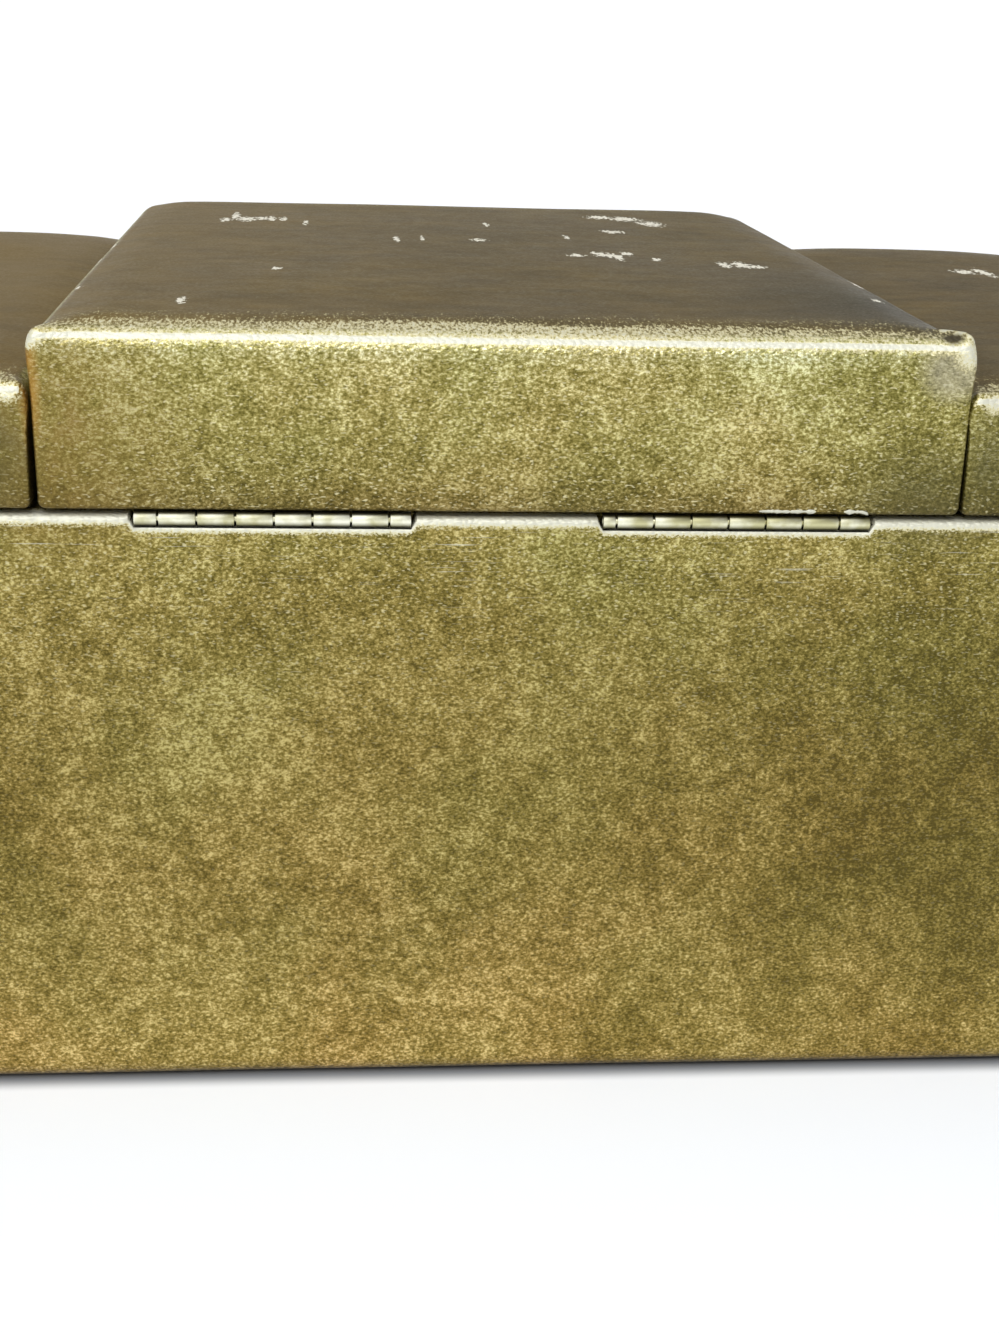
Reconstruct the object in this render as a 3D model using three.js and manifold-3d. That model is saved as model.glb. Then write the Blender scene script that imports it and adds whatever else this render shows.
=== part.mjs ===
// A jewelry box covered in gold leatherette and lined with velvet.
// A board carcass holds three wells. A tall middle lid is hinged at the back,
// and a lower lid on each side is hinged at its outer end.
// Millimetres, +Z up. The origin is the middle of the underside.
// The front faces -Y and the hinged back +Y. Left and right are as seen from the front.

import * as THREE from "three";
import { mergeVertices } from "three/addons/utils/BufferGeometryUtils.js";
import Module from "manifold-3d";

const wasm = await Module();
wasm.setup();

// Outer sizes
const centreLidWidth = 152;
const sideLidWidth = 76;
const lidGap = 1;
const boxDepth = 200;
const bodyHeight = 103;
const centreLidHeight = 29;
const sideLidHeight = 20.5;
const lidSeam = 0.8;

// Boards and coverings
const boardThickness = 6;
const baseThickness = 6;
const partitionThickness = 8;
const lidWall = 5;
const lidTopThickness = 4;
const coverThickness = 0.8;
const turnIn = 12;
const feltThickness = 1;
const feltInset = 4;
const liningThickness = 1.2;
const liningDrop = 1;
const liningGap = 0.2;

// Rounded edges, and the crown of the lids with the share of the half width that it rises over
const cornerRadius = 2.4;
const rimRound = 2;
const footRound = 1.2;
const lidTopRound = 3;
const lidCrown = 1.2;
const crownShare = 0.85;
const leastRadius = 0.3;
const cornerSteps = 4;
const roundSteps = 3;
const crownSteps = 3;

// Hinges, cut from a continuous strip, so that each starts part of the way along a knuckle
const hingeLength = 44.5;
const backHingeInset = 38;
const endHingeInset = 50;
const barrelDiameter = 2.5;
const barrelClearance = 0.25;
const pinDiameter = 1.2;
const pinClearance = 0.15;
const knucklePitch = 6.2;
const knuckleGap = 0.2;
const leafThickness = 0.6;
const leafMargin = 1.5;
const leafSlack = 0.3;
const mortiseSlack = 0.5;
const seatGap = 0.1;
const barrelSteps = 6;
const boreSteps = 4;

// Fittings inside the wells
const padThickness = 5;
const padCrown = 2;
const padRound = 1;
const padGap = 0.6;
const dividerThickness = 3;
const dividerDrop = 22;
const ringRollCount = 4;
const ringRollPitch = 12;
const ringRollRise = 5;
const ringBankDrop = 24;
const ringCushion = 10;
const fittingGap = 0.4;

// Mirror in the middle lid
const mirrorThickness = 2;
const mirrorMargin = 6;
const mirrorBorder = 12;
const mirrorLap = 2;
const mirrorLip = 1.4;
const mirrorGap = 0.3;

// Places worked out from the sizes above
const bodyWidth = centreLidWidth + 2 * (lidGap + sideLidWidth);
const rimWidth = coverThickness + boardThickness;
const baseUnderside = feltThickness + coverThickness;
const floorHeight = baseUnderside + baseThickness;
const rimBoardTop = bodyHeight - coverThickness;
const partitionCentre = (centreLidWidth + lidGap) / 2;
const wellDepth = boxDepth - 2 * rimWidth;
const centreWellWidth = 2 * partitionCentre - partitionThickness;
const sideWellWidth = bodyWidth / 2 - rimWidth - partitionCentre - partitionThickness / 2;
const sideWellCentre = partitionCentre + partitionThickness / 2 + sideWellWidth / 2;
const sideLidCentre = centreLidWidth / 2 + lidGap + sideLidWidth / 2;
const lidUnderside = bodyHeight + lidSeam;
const barrelRadius = barrelDiameter / 2;
const lidRise = barrelRadius + barrelClearance;
const hingeAxisHeight = lidUnderside - lidRise;
const leafReach = rimWidth - leafMargin;
const backHingePlace = centreLidWidth / 2 - backHingeInset;
const endHingePlace = boxDepth / 2 - endHingeInset;

// Materials
const finish = (color, roughness, metalness) =>
  new THREE.MeshStandardMaterial({ color, roughness, metalness });
const leatherette = finish(0x9c8740, 0.4, 0.7);
const board = finish(0xb08d5c, 0.85, 0);
const velvet = finish(0x6b0f1e, 0.95, 0);
const felt = finish(0x2a2622, 0.95, 0);
const plating = finish(0xd3cda6, 0.3, 1);
const silvering = finish(0xdfe4e6, 0.05, 1);

// A closed geometry as a solid for joining and cutting.
function solidOf(geometry) {
  const bare = geometry.index ? geometry.toNonIndexed() : geometry.clone();
  bare.deleteAttribute("normal");
  bare.deleteAttribute("uv");
  const merged = mergeVertices(bare, 1e-4);
  return new wasm.Manifold(
    new wasm.Mesh({
      numProp: 3,
      vertProperties: merged.attributes.position.array,
      triVerts: new Uint32Array(merged.index.array),
    }),
  );
}

// The surface of a solid as a geometry.
function geometryOf(solid) {
  const mesh = solid.getMesh();
  const geometry = new THREE.BufferGeometry();
  geometry.setAttribute("position", new THREE.BufferAttribute(mesh.vertProperties, mesh.numProp));
  geometry.setIndex(new THREE.BufferAttribute(mesh.triVerts, 1));
  geometry.computeVertexNormals();
  return geometry;
}

// A box between two corners.
function block([x0, y0, z0], [x1, y1, z1]) {
  const geometry = new THREE.BoxGeometry(x1 - x0, y1 - y0, z1 - z0);
  return solidOf(geometry.translate((x0 + x1) / 2, (y0 + y1) / 2, (z0 + z1) / 2));
}

// A box centred on the Z axis, given by its width, depth and two heights.
const centredBlock = (width, depth, z0, z1) =>
  block([-width / 2, -depth / 2, z0], [width / 2, depth / 2, z1]);

// A shape in the YZ plane drawn out along X.
function drawAlongX(shape, from, to, curveSegments) {
  const drawn = new THREE.ExtrudeGeometry(shape, { depth: to - from, bevelEnabled: false, curveSegments });
  const turn = new THREE.Matrix4().makeBasis(
    new THREE.Vector3(0, 1, 0),
    new THREE.Vector3(0, 0, 1),
    new THREE.Vector3(1, 0, 0),
  );
  return solidOf(drawn.applyMatrix4(turn).translate(from, 0, 0));
}

const circle = (radius) => new THREE.Shape().absarc(0, 0, radius, 0, 2 * Math.PI);

// The corners of a rectangle with round corners, counter-clockwise.
function roundedOutline(width, depth, radius) {
  const points = [];
  for (let corner = 0; corner < 4; corner++) {
    const right = corner === 0 || corner === 3;
    const back = corner < 2;
    const cx = (right ? 1 : -1) * (width / 2 - radius);
    const cy = (back ? 1 : -1) * (depth / 2 - radius);
    for (let step = 0; step <= cornerSteps; step++) {
      const angle = ((corner + step / cornerSteps) * Math.PI) / 2;
      points.push([cx + radius * Math.cos(angle), cy + radius * Math.sin(angle)]);
    }
  }
  return points;
}

// A solid through rounded rectangles, each given by how far it is drawn in and its height.
function loft(width, depth, radius, profile) {
  const rings = profile.map(({ inset, z }) =>
    roundedOutline(width - 2 * inset, depth - 2 * inset, Math.max(radius - inset, leastRadius)).map(
      ([x, y]) => [x, y, z],
    ),
  );
  const count = rings[0].length;
  const positions = rings.flat(2);
  const index = [];
  const foot = rings.length * count;
  const crown = foot + 1;
  positions.push(0, 0, profile[0].z, 0, 0, profile.at(-1).z);
  for (let i = 0; i < count; i++) {
    const next = (i + 1) % count;
    for (let ring = 0; ring + 1 < rings.length; ring++) {
      const low = ring * count;
      const high = low + count;
      index.push(low + i, low + next, high + next, low + i, high + next, high + i);
    }
    const top = foot - count;
    index.push(foot, next, i, crown, top + i, top + next);
  }
  const geometry = new THREE.BufferGeometry();
  geometry.setAttribute("position", new THREE.Float32BufferAttribute(positions, 3));
  geometry.setIndex(index);
  return solidOf(geometry);
}

// Profile steps of a rounded lower or upper edge.
const lowerRound = (radius, z) =>
  Array.from({ length: roundSteps + 1 }, (_, step) => {
    const angle = (step / roundSteps) * (Math.PI / 2);
    return { inset: radius * (1 - Math.sin(angle)), z: z + radius * (1 - Math.cos(angle)) };
  });
const upperRound = (radius, z) =>
  lowerRound(radius, 0)
    .map(({ inset, z: rise }) => ({ inset, z: z - rise }))
    .reverse();

// Profile steps of a low crown that starts at an inset and rises to the middle of a width.
function crownOver(width, inset, z, rise) {
  const reach = crownShare * (width / 2 - inset);
  return Array.from({ length: crownSteps }, (_, step) => {
    const share = (step + 1) / crownSteps;
    return { inset: inset + share * reach, z: z + rise * (1 - (1 - share) ** 2) };
  });
}

// A straight-sided profile between two heights.
const straight = (z0, z1) => [
  { inset: 0, z: z0 },
  { inset: 0, z: z1 },
];

const box = new THREE.Group();

// Adds a solid to a group as a named piece.
function addPiece(group, name, solid, material) {
  const mesh = new THREE.Mesh(geometryOf(solid), material);
  mesh.name = name;
  group.add(mesh);
  return mesh;
}

// Every hinge: the edge it serves, its place along that edge, and how much of a knuckle comes first.
const hinges = [
  { name: "back_left", side: "back", along: -backHingePlace, firstKnuckle: 0.83 },
  { name: "back_right", side: "back", along: backHingePlace, firstKnuckle: 0.57 },
  { name: "left_front", side: "left", along: -endHingePlace, firstKnuckle: 0.7 },
  { name: "left_rear", side: "left", along: endHingePlace, firstKnuckle: 0.45 },
  { name: "right_front", side: "right", along: -endHingePlace, firstKnuckle: 0.6 },
  { name: "right_rear", side: "right", along: endHingePlace, firstKnuckle: 0.8 },
];

// A group on a hinge's axis: X along the pin, Y out of the box and Z up.
function hingeFrame({ side, along }) {
  const frame = new THREE.Group();
  const endAxis = bodyWidth / 2 - barrelRadius;
  if (side === "back") {
    frame.position.set(along, boxDepth / 2 - barrelRadius, hingeAxisHeight);
  } else if (side === "right") {
    frame.position.set(endAxis, along, hingeAxisHeight);
    frame.rotation.z = -Math.PI / 2;
  } else {
    frame.position.set(-endAxis, along, hingeAxisHeight);
    frame.rotation.z = Math.PI / 2;
  }
  frame.updateMatrix();
  return frame;
}

// The recess in the rim that takes a hinge's barrel and leaves, open above and outside.
function mortise(hinge) {
  const reach = hingeLength / 2 + mortiseSlack;
  const cutter = block(
    [-reach, barrelRadius - leafReach - mortiseSlack, -barrelRadius - seatGap],
    [reach, barrelDiameter, lidRise],
  );
  return solidOf(geometryOf(cutter).applyMatrix4(hingeFrame(hinge).matrix));
}

const mortises = hinges.map(mortise);
const withMortises = (solid) => mortises.reduce((left, cut) => left.subtract(cut), solid);

// The space inside the leatherette cover of the body, which the boards fill.
const bodyCore = loft(
  bodyWidth - 2 * coverThickness,
  boxDepth - 2 * coverThickness,
  cornerRadius - coverThickness,
  straight(baseUnderside, rimBoardTop),
);

// Carcass boards: four walls, a base between them and two partitions under the lid gaps.
function addCarcass() {
  const halfWidth = bodyWidth / 2;
  const halfDepth = boxDepth / 2;
  const innerDepth = wellDepth / 2;
  const innerWidth = halfWidth - rimWidth;
  const wall = (name, low, high) => {
    const cut = withMortises(block([...low, baseUnderside], [...high, rimBoardTop]).intersect(bodyCore));
    addPiece(box, name, cut, board);
  };
  wall("back_board", [-halfWidth, innerDepth], [halfWidth, halfDepth]);
  wall("front_board", [-halfWidth, -halfDepth], [halfWidth, -innerDepth]);
  wall("left_end_board", [-halfWidth, -innerDepth], [-innerWidth, innerDepth]);
  wall("right_end_board", [innerWidth, -innerDepth], [halfWidth, innerDepth]);
  addPiece(box, "base_board", centredBlock(2 * innerWidth, wellDepth, baseUnderside, floorHeight), board);
  for (const [name, side] of [["left", -1], ["right", 1]]) {
    const centre = side * partitionCentre;
    const half = partitionThickness / 2;
    const strip = (z0, z1) => block([centre - half, -innerDepth, z0], [centre + half, innerDepth, z1]);
    addPiece(box, `${name}_partition`, strip(floorHeight, rimBoardTop), board);
    addPiece(box, `${name}_partition_cap`, strip(rimBoardTop, bodyHeight), leatherette);
  }
}

// Leatherette round the body, turned in over the rim and under the base, with felt on the underside.
function addBodyCover() {
  const outside = loft(bodyWidth, boxDepth, cornerRadius, [
    ...lowerRound(footRound, feltThickness),
    ...upperRound(rimRound, bodyHeight),
  ]);
  const mouth = centredBlock(bodyWidth - 2 * rimWidth, wellDepth, floorHeight, 2 * bodyHeight);
  const underside = centredBlock(bodyWidth - 2 * turnIn, boxDepth - 2 * turnIn, 0, floorHeight);
  const skin = outside.subtract(bodyCore).subtract(mouth).subtract(underside);
  addPiece(box, "body_cover", withMortises(skin), leatherette);
  const feltSheet = loft(
    bodyWidth - 2 * feltInset,
    boxDepth - 2 * feltInset,
    cornerRadius,
    straight(0, feltThickness),
  );
  addPiece(box, "base_felt", feltSheet, felt);
}

// A padded velvet floor over part of a well, from y0 to y1.
function addFloorPad(name, centreX, width, y0, y1) {
  const padWidth = width - 2 * padGap;
  const padDepth = y1 - y0 - 2 * padGap;
  const pad = loft(padWidth, padDepth, cornerRadius, [
    ...lowerRound(padRound, 0),
    ...upperRound(padRound, padThickness),
    ...crownOver(Math.min(padWidth, padDepth), padRound, padThickness, padCrown),
  ]);
  addPiece(box, name, pad, velvet).position.set(centreX, (y0 + y1) / 2, floorHeight);
}

// A velvet sleeve round the walls of a well.
function addWellLining(name, centreX, wellWidth) {
  const width = wellWidth - 2 * liningGap;
  const depth = wellDepth - 2 * liningGap;
  const bore = centredBlock(width - 2 * liningThickness, depth - 2 * liningThickness, 0, bodyHeight);
  const sleeve = centredBlock(width, depth, floorHeight, bodyHeight - liningDrop).subtract(bore);
  addPiece(box, name, sleeve, velvet).position.x = centreX;
}

// A row of velvet ring rolls on a riser along the front of the middle well.
function addRingBank(width, front) {
  const half = width / 2 - fittingGap;
  const rollsFront = front + fittingGap;
  const rollsBack = front + ringRollCount * ringRollPitch;
  const rollWidth = (rollsBack - rollsFront) / ringRollCount;
  const seat = bodyHeight - ringBankDrop - ringRollRise - ringCushion;
  const shoulder = seat + ringCushion;
  const riser = block([-half, rollsFront, floorHeight], [half, rollsBack, seat]);
  addPiece(box, "ring_bank_riser", riser, velvet);
  const outline = new THREE.Shape();
  outline.moveTo(rollsFront, seat);
  outline.lineTo(rollsBack, seat);
  outline.lineTo(rollsBack, shoulder);
  for (let roll = ringRollCount - 1; roll >= 0; roll--) {
    const middle = rollsFront + (roll + 0.5) * rollWidth;
    outline.absellipse(middle, shoulder, rollWidth / 2, ringRollRise, 0, Math.PI, false);
  }
  addPiece(box, "ring_bank", drawAlongX(outline, -half, half, cornerSteps), velvet);
}

// Linings, floor pads, dividers and the ring bank.
function addWellFittings() {
  const clear = (size) => size - 2 * (liningGap + liningThickness);
  const front = -clear(wellDepth) / 2;
  const back = clear(wellDepth) / 2;
  addWellLining("centre_well_lining", 0, centreWellWidth);
  addRingBank(clear(centreWellWidth), front);
  addFloorPad("centre_floor_pad", 0, clear(centreWellWidth), front + ringRollCount * ringRollPitch, back);
  for (const [name, side] of [["left", -1], ["right", 1]]) {
    const centre = side * sideWellCentre;
    const width = clear(sideWellWidth);
    const half = width / 2 - fittingGap;
    addWellLining(`${name}_well_lining`, centre, sideWellWidth);
    addFloorPad(`${name}_front_pad`, centre, width, front, -dividerThickness / 2);
    addFloorPad(`${name}_rear_pad`, centre, width, dividerThickness / 2, back);
    const divider = block(
      [centre - half, -dividerThickness / 2, floorHeight],
      [centre + half, dividerThickness / 2, bodyHeight - dividerDrop],
    );
    addPiece(box, `${name}_divider`, divider, velvet);
  }
}

// The sizes of a lid's boards, hollow and liner, with heights from the lid's underside.
function lidSizes(width, height) {
  const boardWidth = width - 2 * coverThickness;
  const boardDepth = boxDepth - 2 * coverThickness;
  const boardTop = height - coverThickness;
  const frameTop = boardTop - lidTopThickness;
  const hollowWidth = boardWidth - 2 * lidWall;
  const hollowDepth = boardDepth - 2 * lidWall;
  const linerWidth = hollowWidth - 2 * liningGap;
  const linerDepth = hollowDepth - 2 * liningGap;
  const linerTop = frameTop - liningGap;
  return {
    width,
    height,
    boardWidth,
    boardDepth,
    frameTop,
    linerWidth,
    linerDepth,
    linerTop,
    ceiling: linerTop - liningThickness,
    boardRadius: cornerRadius - coverThickness,
    easedTop: upperRound(Math.min(lidTopRound, lidTopThickness) - coverThickness, boardTop),
    hollow: centredBlock(hollowWidth, hollowDepth, -height, frameTop),
  };
}

// Leatherette over a lid, turned in under its frame.
function addLidCover(lid, name, { width, height, boardWidth, boardDepth, boardRadius, easedTop, hollow }) {
  const outside = loft(width, boxDepth, cornerRadius, [
    ...lowerRound(footRound, 0),
    ...upperRound(lidTopRound, height),
    ...crownOver(width, lidTopRound, height, lidCrown),
  ]);
  const core = loft(boardWidth, boardDepth, boardRadius, [{ inset: 0, z: coverThickness }, ...easedTop]);
  addPiece(lid, `${name}_lid_cover`, outside.subtract(core).subtract(hollow), leatherette);
}

// The frame of a lid and the board on top of it.
function addLidBoards(lid, name, { boardWidth, boardDepth, boardRadius, frameTop, easedTop, hollow }) {
  const frame = loft(boardWidth, boardDepth, boardRadius, straight(coverThickness, frameTop));
  const top = loft(boardWidth, boardDepth, boardRadius, [{ inset: 0, z: frameTop }, ...easedTop]);
  addPiece(lid, `${name}_lid_frame`, frame.subtract(hollow), board);
  addPiece(lid, `${name}_lid_board`, top, board);
}

// A velvet liner in the hollow of a lid.
function addLidLining(lid, name, { linerWidth, linerDepth, linerTop, ceiling, height }) {
  const inside = centredBlock(
    linerWidth - 2 * liningThickness,
    linerDepth - 2 * liningThickness,
    -height,
    ceiling,
  );
  const liner = centredBlock(linerWidth, linerDepth, liningDrop, linerTop).subtract(inside);
  addPiece(lid, `${name}_lid_lining`, liner, velvet);
}

// A mirror under a lid, held by a velvet border that laps over its edge.
function addMirror(lid, { linerWidth, linerDepth, ceiling, height }) {
  const borderWidth = linerWidth - 2 * (liningThickness + mirrorMargin);
  const borderDepth = linerDepth - 2 * (liningThickness + mirrorMargin);
  const glassWidth = borderWidth - 2 * (mirrorBorder - mirrorLap);
  const glassDepth = borderDepth - 2 * (mirrorBorder - mirrorLap);
  const glassTop = ceiling - mirrorGap;
  const bedLow = glassTop - mirrorThickness - mirrorGap;
  const border = loft(borderWidth, borderDepth, cornerRadius, [
    ...lowerRound(Math.min(footRound, mirrorLip), bedLow - mirrorLip),
    { inset: 0, z: ceiling },
  ]);
  const bed = centredBlock(glassWidth + 2 * mirrorGap, glassDepth + 2 * mirrorGap, bedLow, height);
  const sight = centredBlock(glassWidth - 2 * mirrorLap, glassDepth - 2 * mirrorLap, -height, height);
  addPiece(lid, "mirror_border", border.subtract(bed).subtract(sight), velvet);
  addPiece(lid, "mirror", centredBlock(glassWidth, glassDepth, glassTop - mirrorThickness, glassTop), silvering);
}

// A lid in a group of its own that stands on the middle of the lid's underside.
function addLid(name, width, height, centreX) {
  const lid = new THREE.Group();
  lid.position.set(centreX, 0, lidUnderside);
  box.add(lid);
  const sizes = lidSizes(width, height);
  addLidCover(lid, name, sizes);
  addLidBoards(lid, name, sizes);
  addLidLining(lid, name, sizes);
  if (name === "centre") {
    addMirror(lid, sizes);
  }
}

// The spans of the knuckles along the pin, with a running gap at each joint.
function knuckleSpans(firstKnuckle) {
  const half = hingeLength / 2;
  const joints = [];
  for (let joint = firstKnuckle * knucklePitch - half; joint < half - knuckleGap; joint += knucklePitch) {
    joints.push(joint);
  }
  const starts = [-half, ...joints.map((joint) => joint + knuckleGap / 2)];
  const ends = [...joints.map((joint) => joint - knuckleGap / 2), half];
  return starts.map((start, i) => [start, ends[i]]);
}

// One leaf of a hinge: a plate, and the knuckles that it carries on short roots.
function hingeLeaf(plate, root, spans) {
  const half = hingeLength / 2;
  const plateEdge = -barrelRadius - leafSlack;
  const rootEdge = -barrelRadius / 4;
  let leaf = block([-half, barrelRadius - leafReach, plate.low], [half, plateEdge, plate.high]);
  for (const [from, to] of spans) {
    const knuckle = drawAlongX(circle(barrelRadius), from, to, barrelSteps);
    leaf = leaf.add(block([from, plateEdge - leafSlack, root.low], [to, rootEdge, root.high])).add(knuckle);
  }
  const bore = circle(pinDiameter / 2 + pinClearance);
  return leaf.subtract(drawAlongX(bore, -hingeLength, hingeLength, boreSteps));
}

// A hinge on its own axis: a leaf in the body's recess, a leaf under the lid, and the pin.
function addHinge(hinge) {
  const frame = hingeFrame(hinge);
  box.add(frame);
  const spans = knuckleSpans(hinge.firstKnuckle);
  const bodyPlate = { low: -barrelRadius, high: leafThickness - barrelRadius };
  const lidPlate = { low: lidRise - leafThickness, high: lidRise };
  const lidRoot = { low: barrelRadius / 2, high: lidRise };
  const bodyLeaf = hingeLeaf(bodyPlate, bodyPlate, spans.filter((_, i) => i % 2 === 0));
  const lidLeaf = hingeLeaf(lidPlate, lidRoot, spans.filter((_, i) => i % 2 === 1));
  const pinEnd = hingeLength / 2 - knuckleGap;
  const pin = drawAlongX(circle(pinDiameter / 2), -pinEnd, pinEnd, boreSteps);
  addPiece(frame, `${hinge.name}_hinge_body_leaf`, bodyLeaf, plating);
  addPiece(frame, `${hinge.name}_hinge_lid_leaf`, lidLeaf, plating);
  addPiece(frame, `${hinge.name}_hinge_pin`, pin, plating);
}

addCarcass();
addBodyCover();
addWellFittings();
addLid("centre", centreLidWidth, centreLidHeight, 0);
addLid("left", sideLidWidth, sideLidHeight, -sideLidCentre);
addLid("right", sideLidWidth, sideLidHeight, sideLidCentre);
hinges.forEach(addHinge);

export default box;
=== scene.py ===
# Gold leatherette jewelry box: covers with worn edges, strip hinges, velvet fittings and a lid mirror.
# Shapes are drawn in millimetres. The front faces -Y, and the hinged back faces +Y and the camera.
import bmesh
import bpy
import math
from functools import partial
from mathutils import Matrix, Vector, noise


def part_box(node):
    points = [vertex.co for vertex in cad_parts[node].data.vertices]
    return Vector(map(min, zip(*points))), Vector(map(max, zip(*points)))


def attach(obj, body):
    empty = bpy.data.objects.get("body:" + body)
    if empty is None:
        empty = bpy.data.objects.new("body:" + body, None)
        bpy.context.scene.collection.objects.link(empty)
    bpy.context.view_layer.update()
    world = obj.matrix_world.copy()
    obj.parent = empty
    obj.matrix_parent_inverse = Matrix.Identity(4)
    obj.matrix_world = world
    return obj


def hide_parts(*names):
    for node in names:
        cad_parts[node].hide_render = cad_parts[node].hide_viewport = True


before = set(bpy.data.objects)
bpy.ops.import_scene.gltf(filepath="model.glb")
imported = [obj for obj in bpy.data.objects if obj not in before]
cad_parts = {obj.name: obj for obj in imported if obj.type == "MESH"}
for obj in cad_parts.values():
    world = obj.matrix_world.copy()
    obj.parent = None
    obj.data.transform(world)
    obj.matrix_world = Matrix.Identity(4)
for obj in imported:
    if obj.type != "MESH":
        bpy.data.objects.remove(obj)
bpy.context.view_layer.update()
mm = 0.001
nearly = 0.01     # places closer than this, in millimetres, count as one
cutSnap = 0.03    # points this close to a cut lie on it
noiseSeed = 7     # noise_vector takes its seed from the clock unless one is set
noise.seed_set(noiseSeed)
print("frame loaded with", len(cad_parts), "nodes")


# Small tools for shapes

def boxOf(node):  # a node's lowest and highest corners in millimetres
    low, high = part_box(node)
    return low / mm, high / mm


def smoothStep(value, low, high):
    share = min(max((value - low) / (high - low), 0), 1)
    return share * share * (3 - 2 * share)


def axisLine(axis):  # unit vector along x, y or z
    return Vector([float(axis == i) for i in range(3)])


def cubeBetween(low, high):
    bm = bmesh.new()
    bmesh.ops.create_cube(bm, size=1)
    bmesh.ops.scale(bm, vec=high - low, verts=bm.verts)
    bmesh.ops.translate(bm, vec=(low + high) / 2, verts=bm.verts)
    return bm


def ringBetween(low, high, width):  # a flat rectangular ring
    bm = cubeBetween(low, high)
    flat = [f for f in bm.faces if abs(f.normal.z) > 0.5]
    bmesh.ops.inset_individual(bm, faces=flat, thickness=width)
    loops = [e for f in flat for e in f.edges]
    bmesh.ops.delete(bm, geom=flat, context="FACES_ONLY")
    bmesh.ops.bridge_loops(bm, edges=loops)
    bmesh.ops.recalc_face_normals(bm, faces=bm.faces)
    return bm


def roundEdges(bm, edges, radius, segments):
    bmesh.ops.bevel(bm, geom=edges, offset=radius, affect="EDGES",
                    segments=segments, profile=0.5, material=-1)


def uprights(bm):
    return [e for e in bm.edges if (e.verts[0].co - e.verts[1].co).normalized().z ** 2 > 0.99]


def edgesAt(bm, height):
    return [e for e in bm.edges if all(abs(v.co.z - height) < nearly for v in e.verts)]


def cutAt(bm, place, normal):
    everything = bm.verts[:] + bm.edges[:] + bm.faces[:]
    bmesh.ops.bisect_plane(bm, geom=everything, dist=cutSnap, plane_co=place, plane_no=normal)


def cutEvenly(bm, step):  # an even grid, so that wear and swelling can vary over the surface
    for axis in range(3):
        low = min(v.co[axis] for v in bm.verts)
        high = max(v.co[axis] for v in bm.verts)
        count = max(1, round((high - low) / step))
        for cut in range(1, count):
            cutAt(bm, axisLine(axis) * (low + (high - low) * cut / count), axisLine(axis))


def openMouth(bm, low, high, height):  # takes a rectangle out of the flat face at a height
    for axis in (0, 1):
        for place in (low[axis], high[axis]):
            cutAt(bm, axisLine(axis) * place, axisLine(axis))
    inside = []
    for face in bm.faces:
        middle = face.calc_center_median()
        if abs(middle.z - height) < nearly and low.x < middle.x < high.x and low.y < middle.y < high.y:
            inside.append(face)
    bmesh.ops.delete(bm, geom=inside, context="FACES")


def fade(distance, flat, reach):  # 1 as far as flat, then falling away over about the reach
    return math.exp(-max(distance - flat, 0) / reach)


def cutNear(bm, low, high, steps):  # closer cuts beside the edges of a box, where wear changes fast
    for step in steps:
        for axis in range(3):
            for place in (low[axis] + step, high[axis] - step):
                cutAt(bm, axisLine(axis) * place, axisLine(axis))


# How skin is rubbed pale, partly a painted highlight along the top edges, by the distance from an edge: where
# it starts to fade and over what reach, or a band
edgeRubAndHighlight = {
    "wander": 1.5,            # the rubbed band of a top ends along a wavering line
    "wanderPitch": 0.04,
    "paleReach": 40,
    "topBand": (-2.5, -1.0),
    "endBand": (1, 3),
    "flank": (2, 1),
    "upright": (1.2, 1.0),
    "foot": (0.6, 0.8),
    "smoothStart": (3.0, 1.2),
    "smoothEnds": (0.5, 2.5),
    "smoothDepth": 0.5,
}


def markWearAndHighlight(bm, low, high, wearAndHighlight):  # 1 and more on a bare edge, less on its flanks, 0 on untouched skin; the pale edges are partly rubbed and partly a painted highlight
    wornAndLit = bm.verts.layers.float.new("edgeWearAndHighlight")
    smooth = bm.verts.layers.float.new("rubbedSmooth")
    for vert in bm.verts:
        inX = min(vert.co.x - low.x, high.x - vert.co.x)
        inY = min(vert.co.y - low.y, high.y - vert.co.y)
        below = high.z - vert.co.z
        wall = fade(below, *wearAndHighlight["wall"])
        wander = edgeRubAndHighlight["wander"] * noise.noise(vert.co * Vector((edgeRubAndHighlight["wanderPitch"], 0, 0)))
        paler = 1 + wearAndHighlight["middle"] * math.exp(-(vert.co.x / edgeRubAndHighlight["paleReach"]) ** 2)
        onTop = smoothStep(-below, *edgeRubAndHighlight["topBand"]) * smoothStep(inX, *edgeRubAndHighlight["endBand"])
        vert[wornAndLit] = max(
            wearAndHighlight["long"] * fade(inY, *wearAndHighlight["top"]) * wall,
            wearAndHighlight["short"] * fade(inX, *wearAndHighlight["top"]) * wall,
            wearAndHighlight["flank"] * fade(inY, *edgeRubAndHighlight["flank"]) * fade(below, *wearAndHighlight["flankWall"]),
            wearAndHighlight["shoulder"] * smoothStep(wander - inY, *wearAndHighlight["shoulderEnd"]) * onTop * paler,
            wearAndHighlight["sparse"] * fade(inY, *wearAndHighlight["sparseReach"]) * onTop,
            wearAndHighlight["upright"] * fade(inX + inY, *edgeRubAndHighlight["upright"]),
            wearAndHighlight["foot"] * fade(vert.co.z - low.z, *edgeRubAndHighlight["foot"]),
        )
        if below < edgeRubAndHighlight["smoothDepth"]:
            inside = (1 - fade(inY, *edgeRubAndHighlight["smoothStart"])) * smoothStep(inX, *edgeRubAndHighlight["smoothEnds"])
            vert[smooth] = wearAndHighlight["smooth"] * inside


def meshFrom(bm, name):
    mesh = bpy.data.meshes.new(name)
    bm.to_mesh(mesh)
    bm.free()
    return mesh


def joinInto(bm, part):
    mesh = meshFrom(part, "part")
    bm.from_mesh(mesh)
    bpy.data.meshes.remove(mesh)


def addObject(name, data):
    item = bpy.data.objects.new(name, data)
    bpy.context.scene.collection.objects.link(item)
    return item


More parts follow.
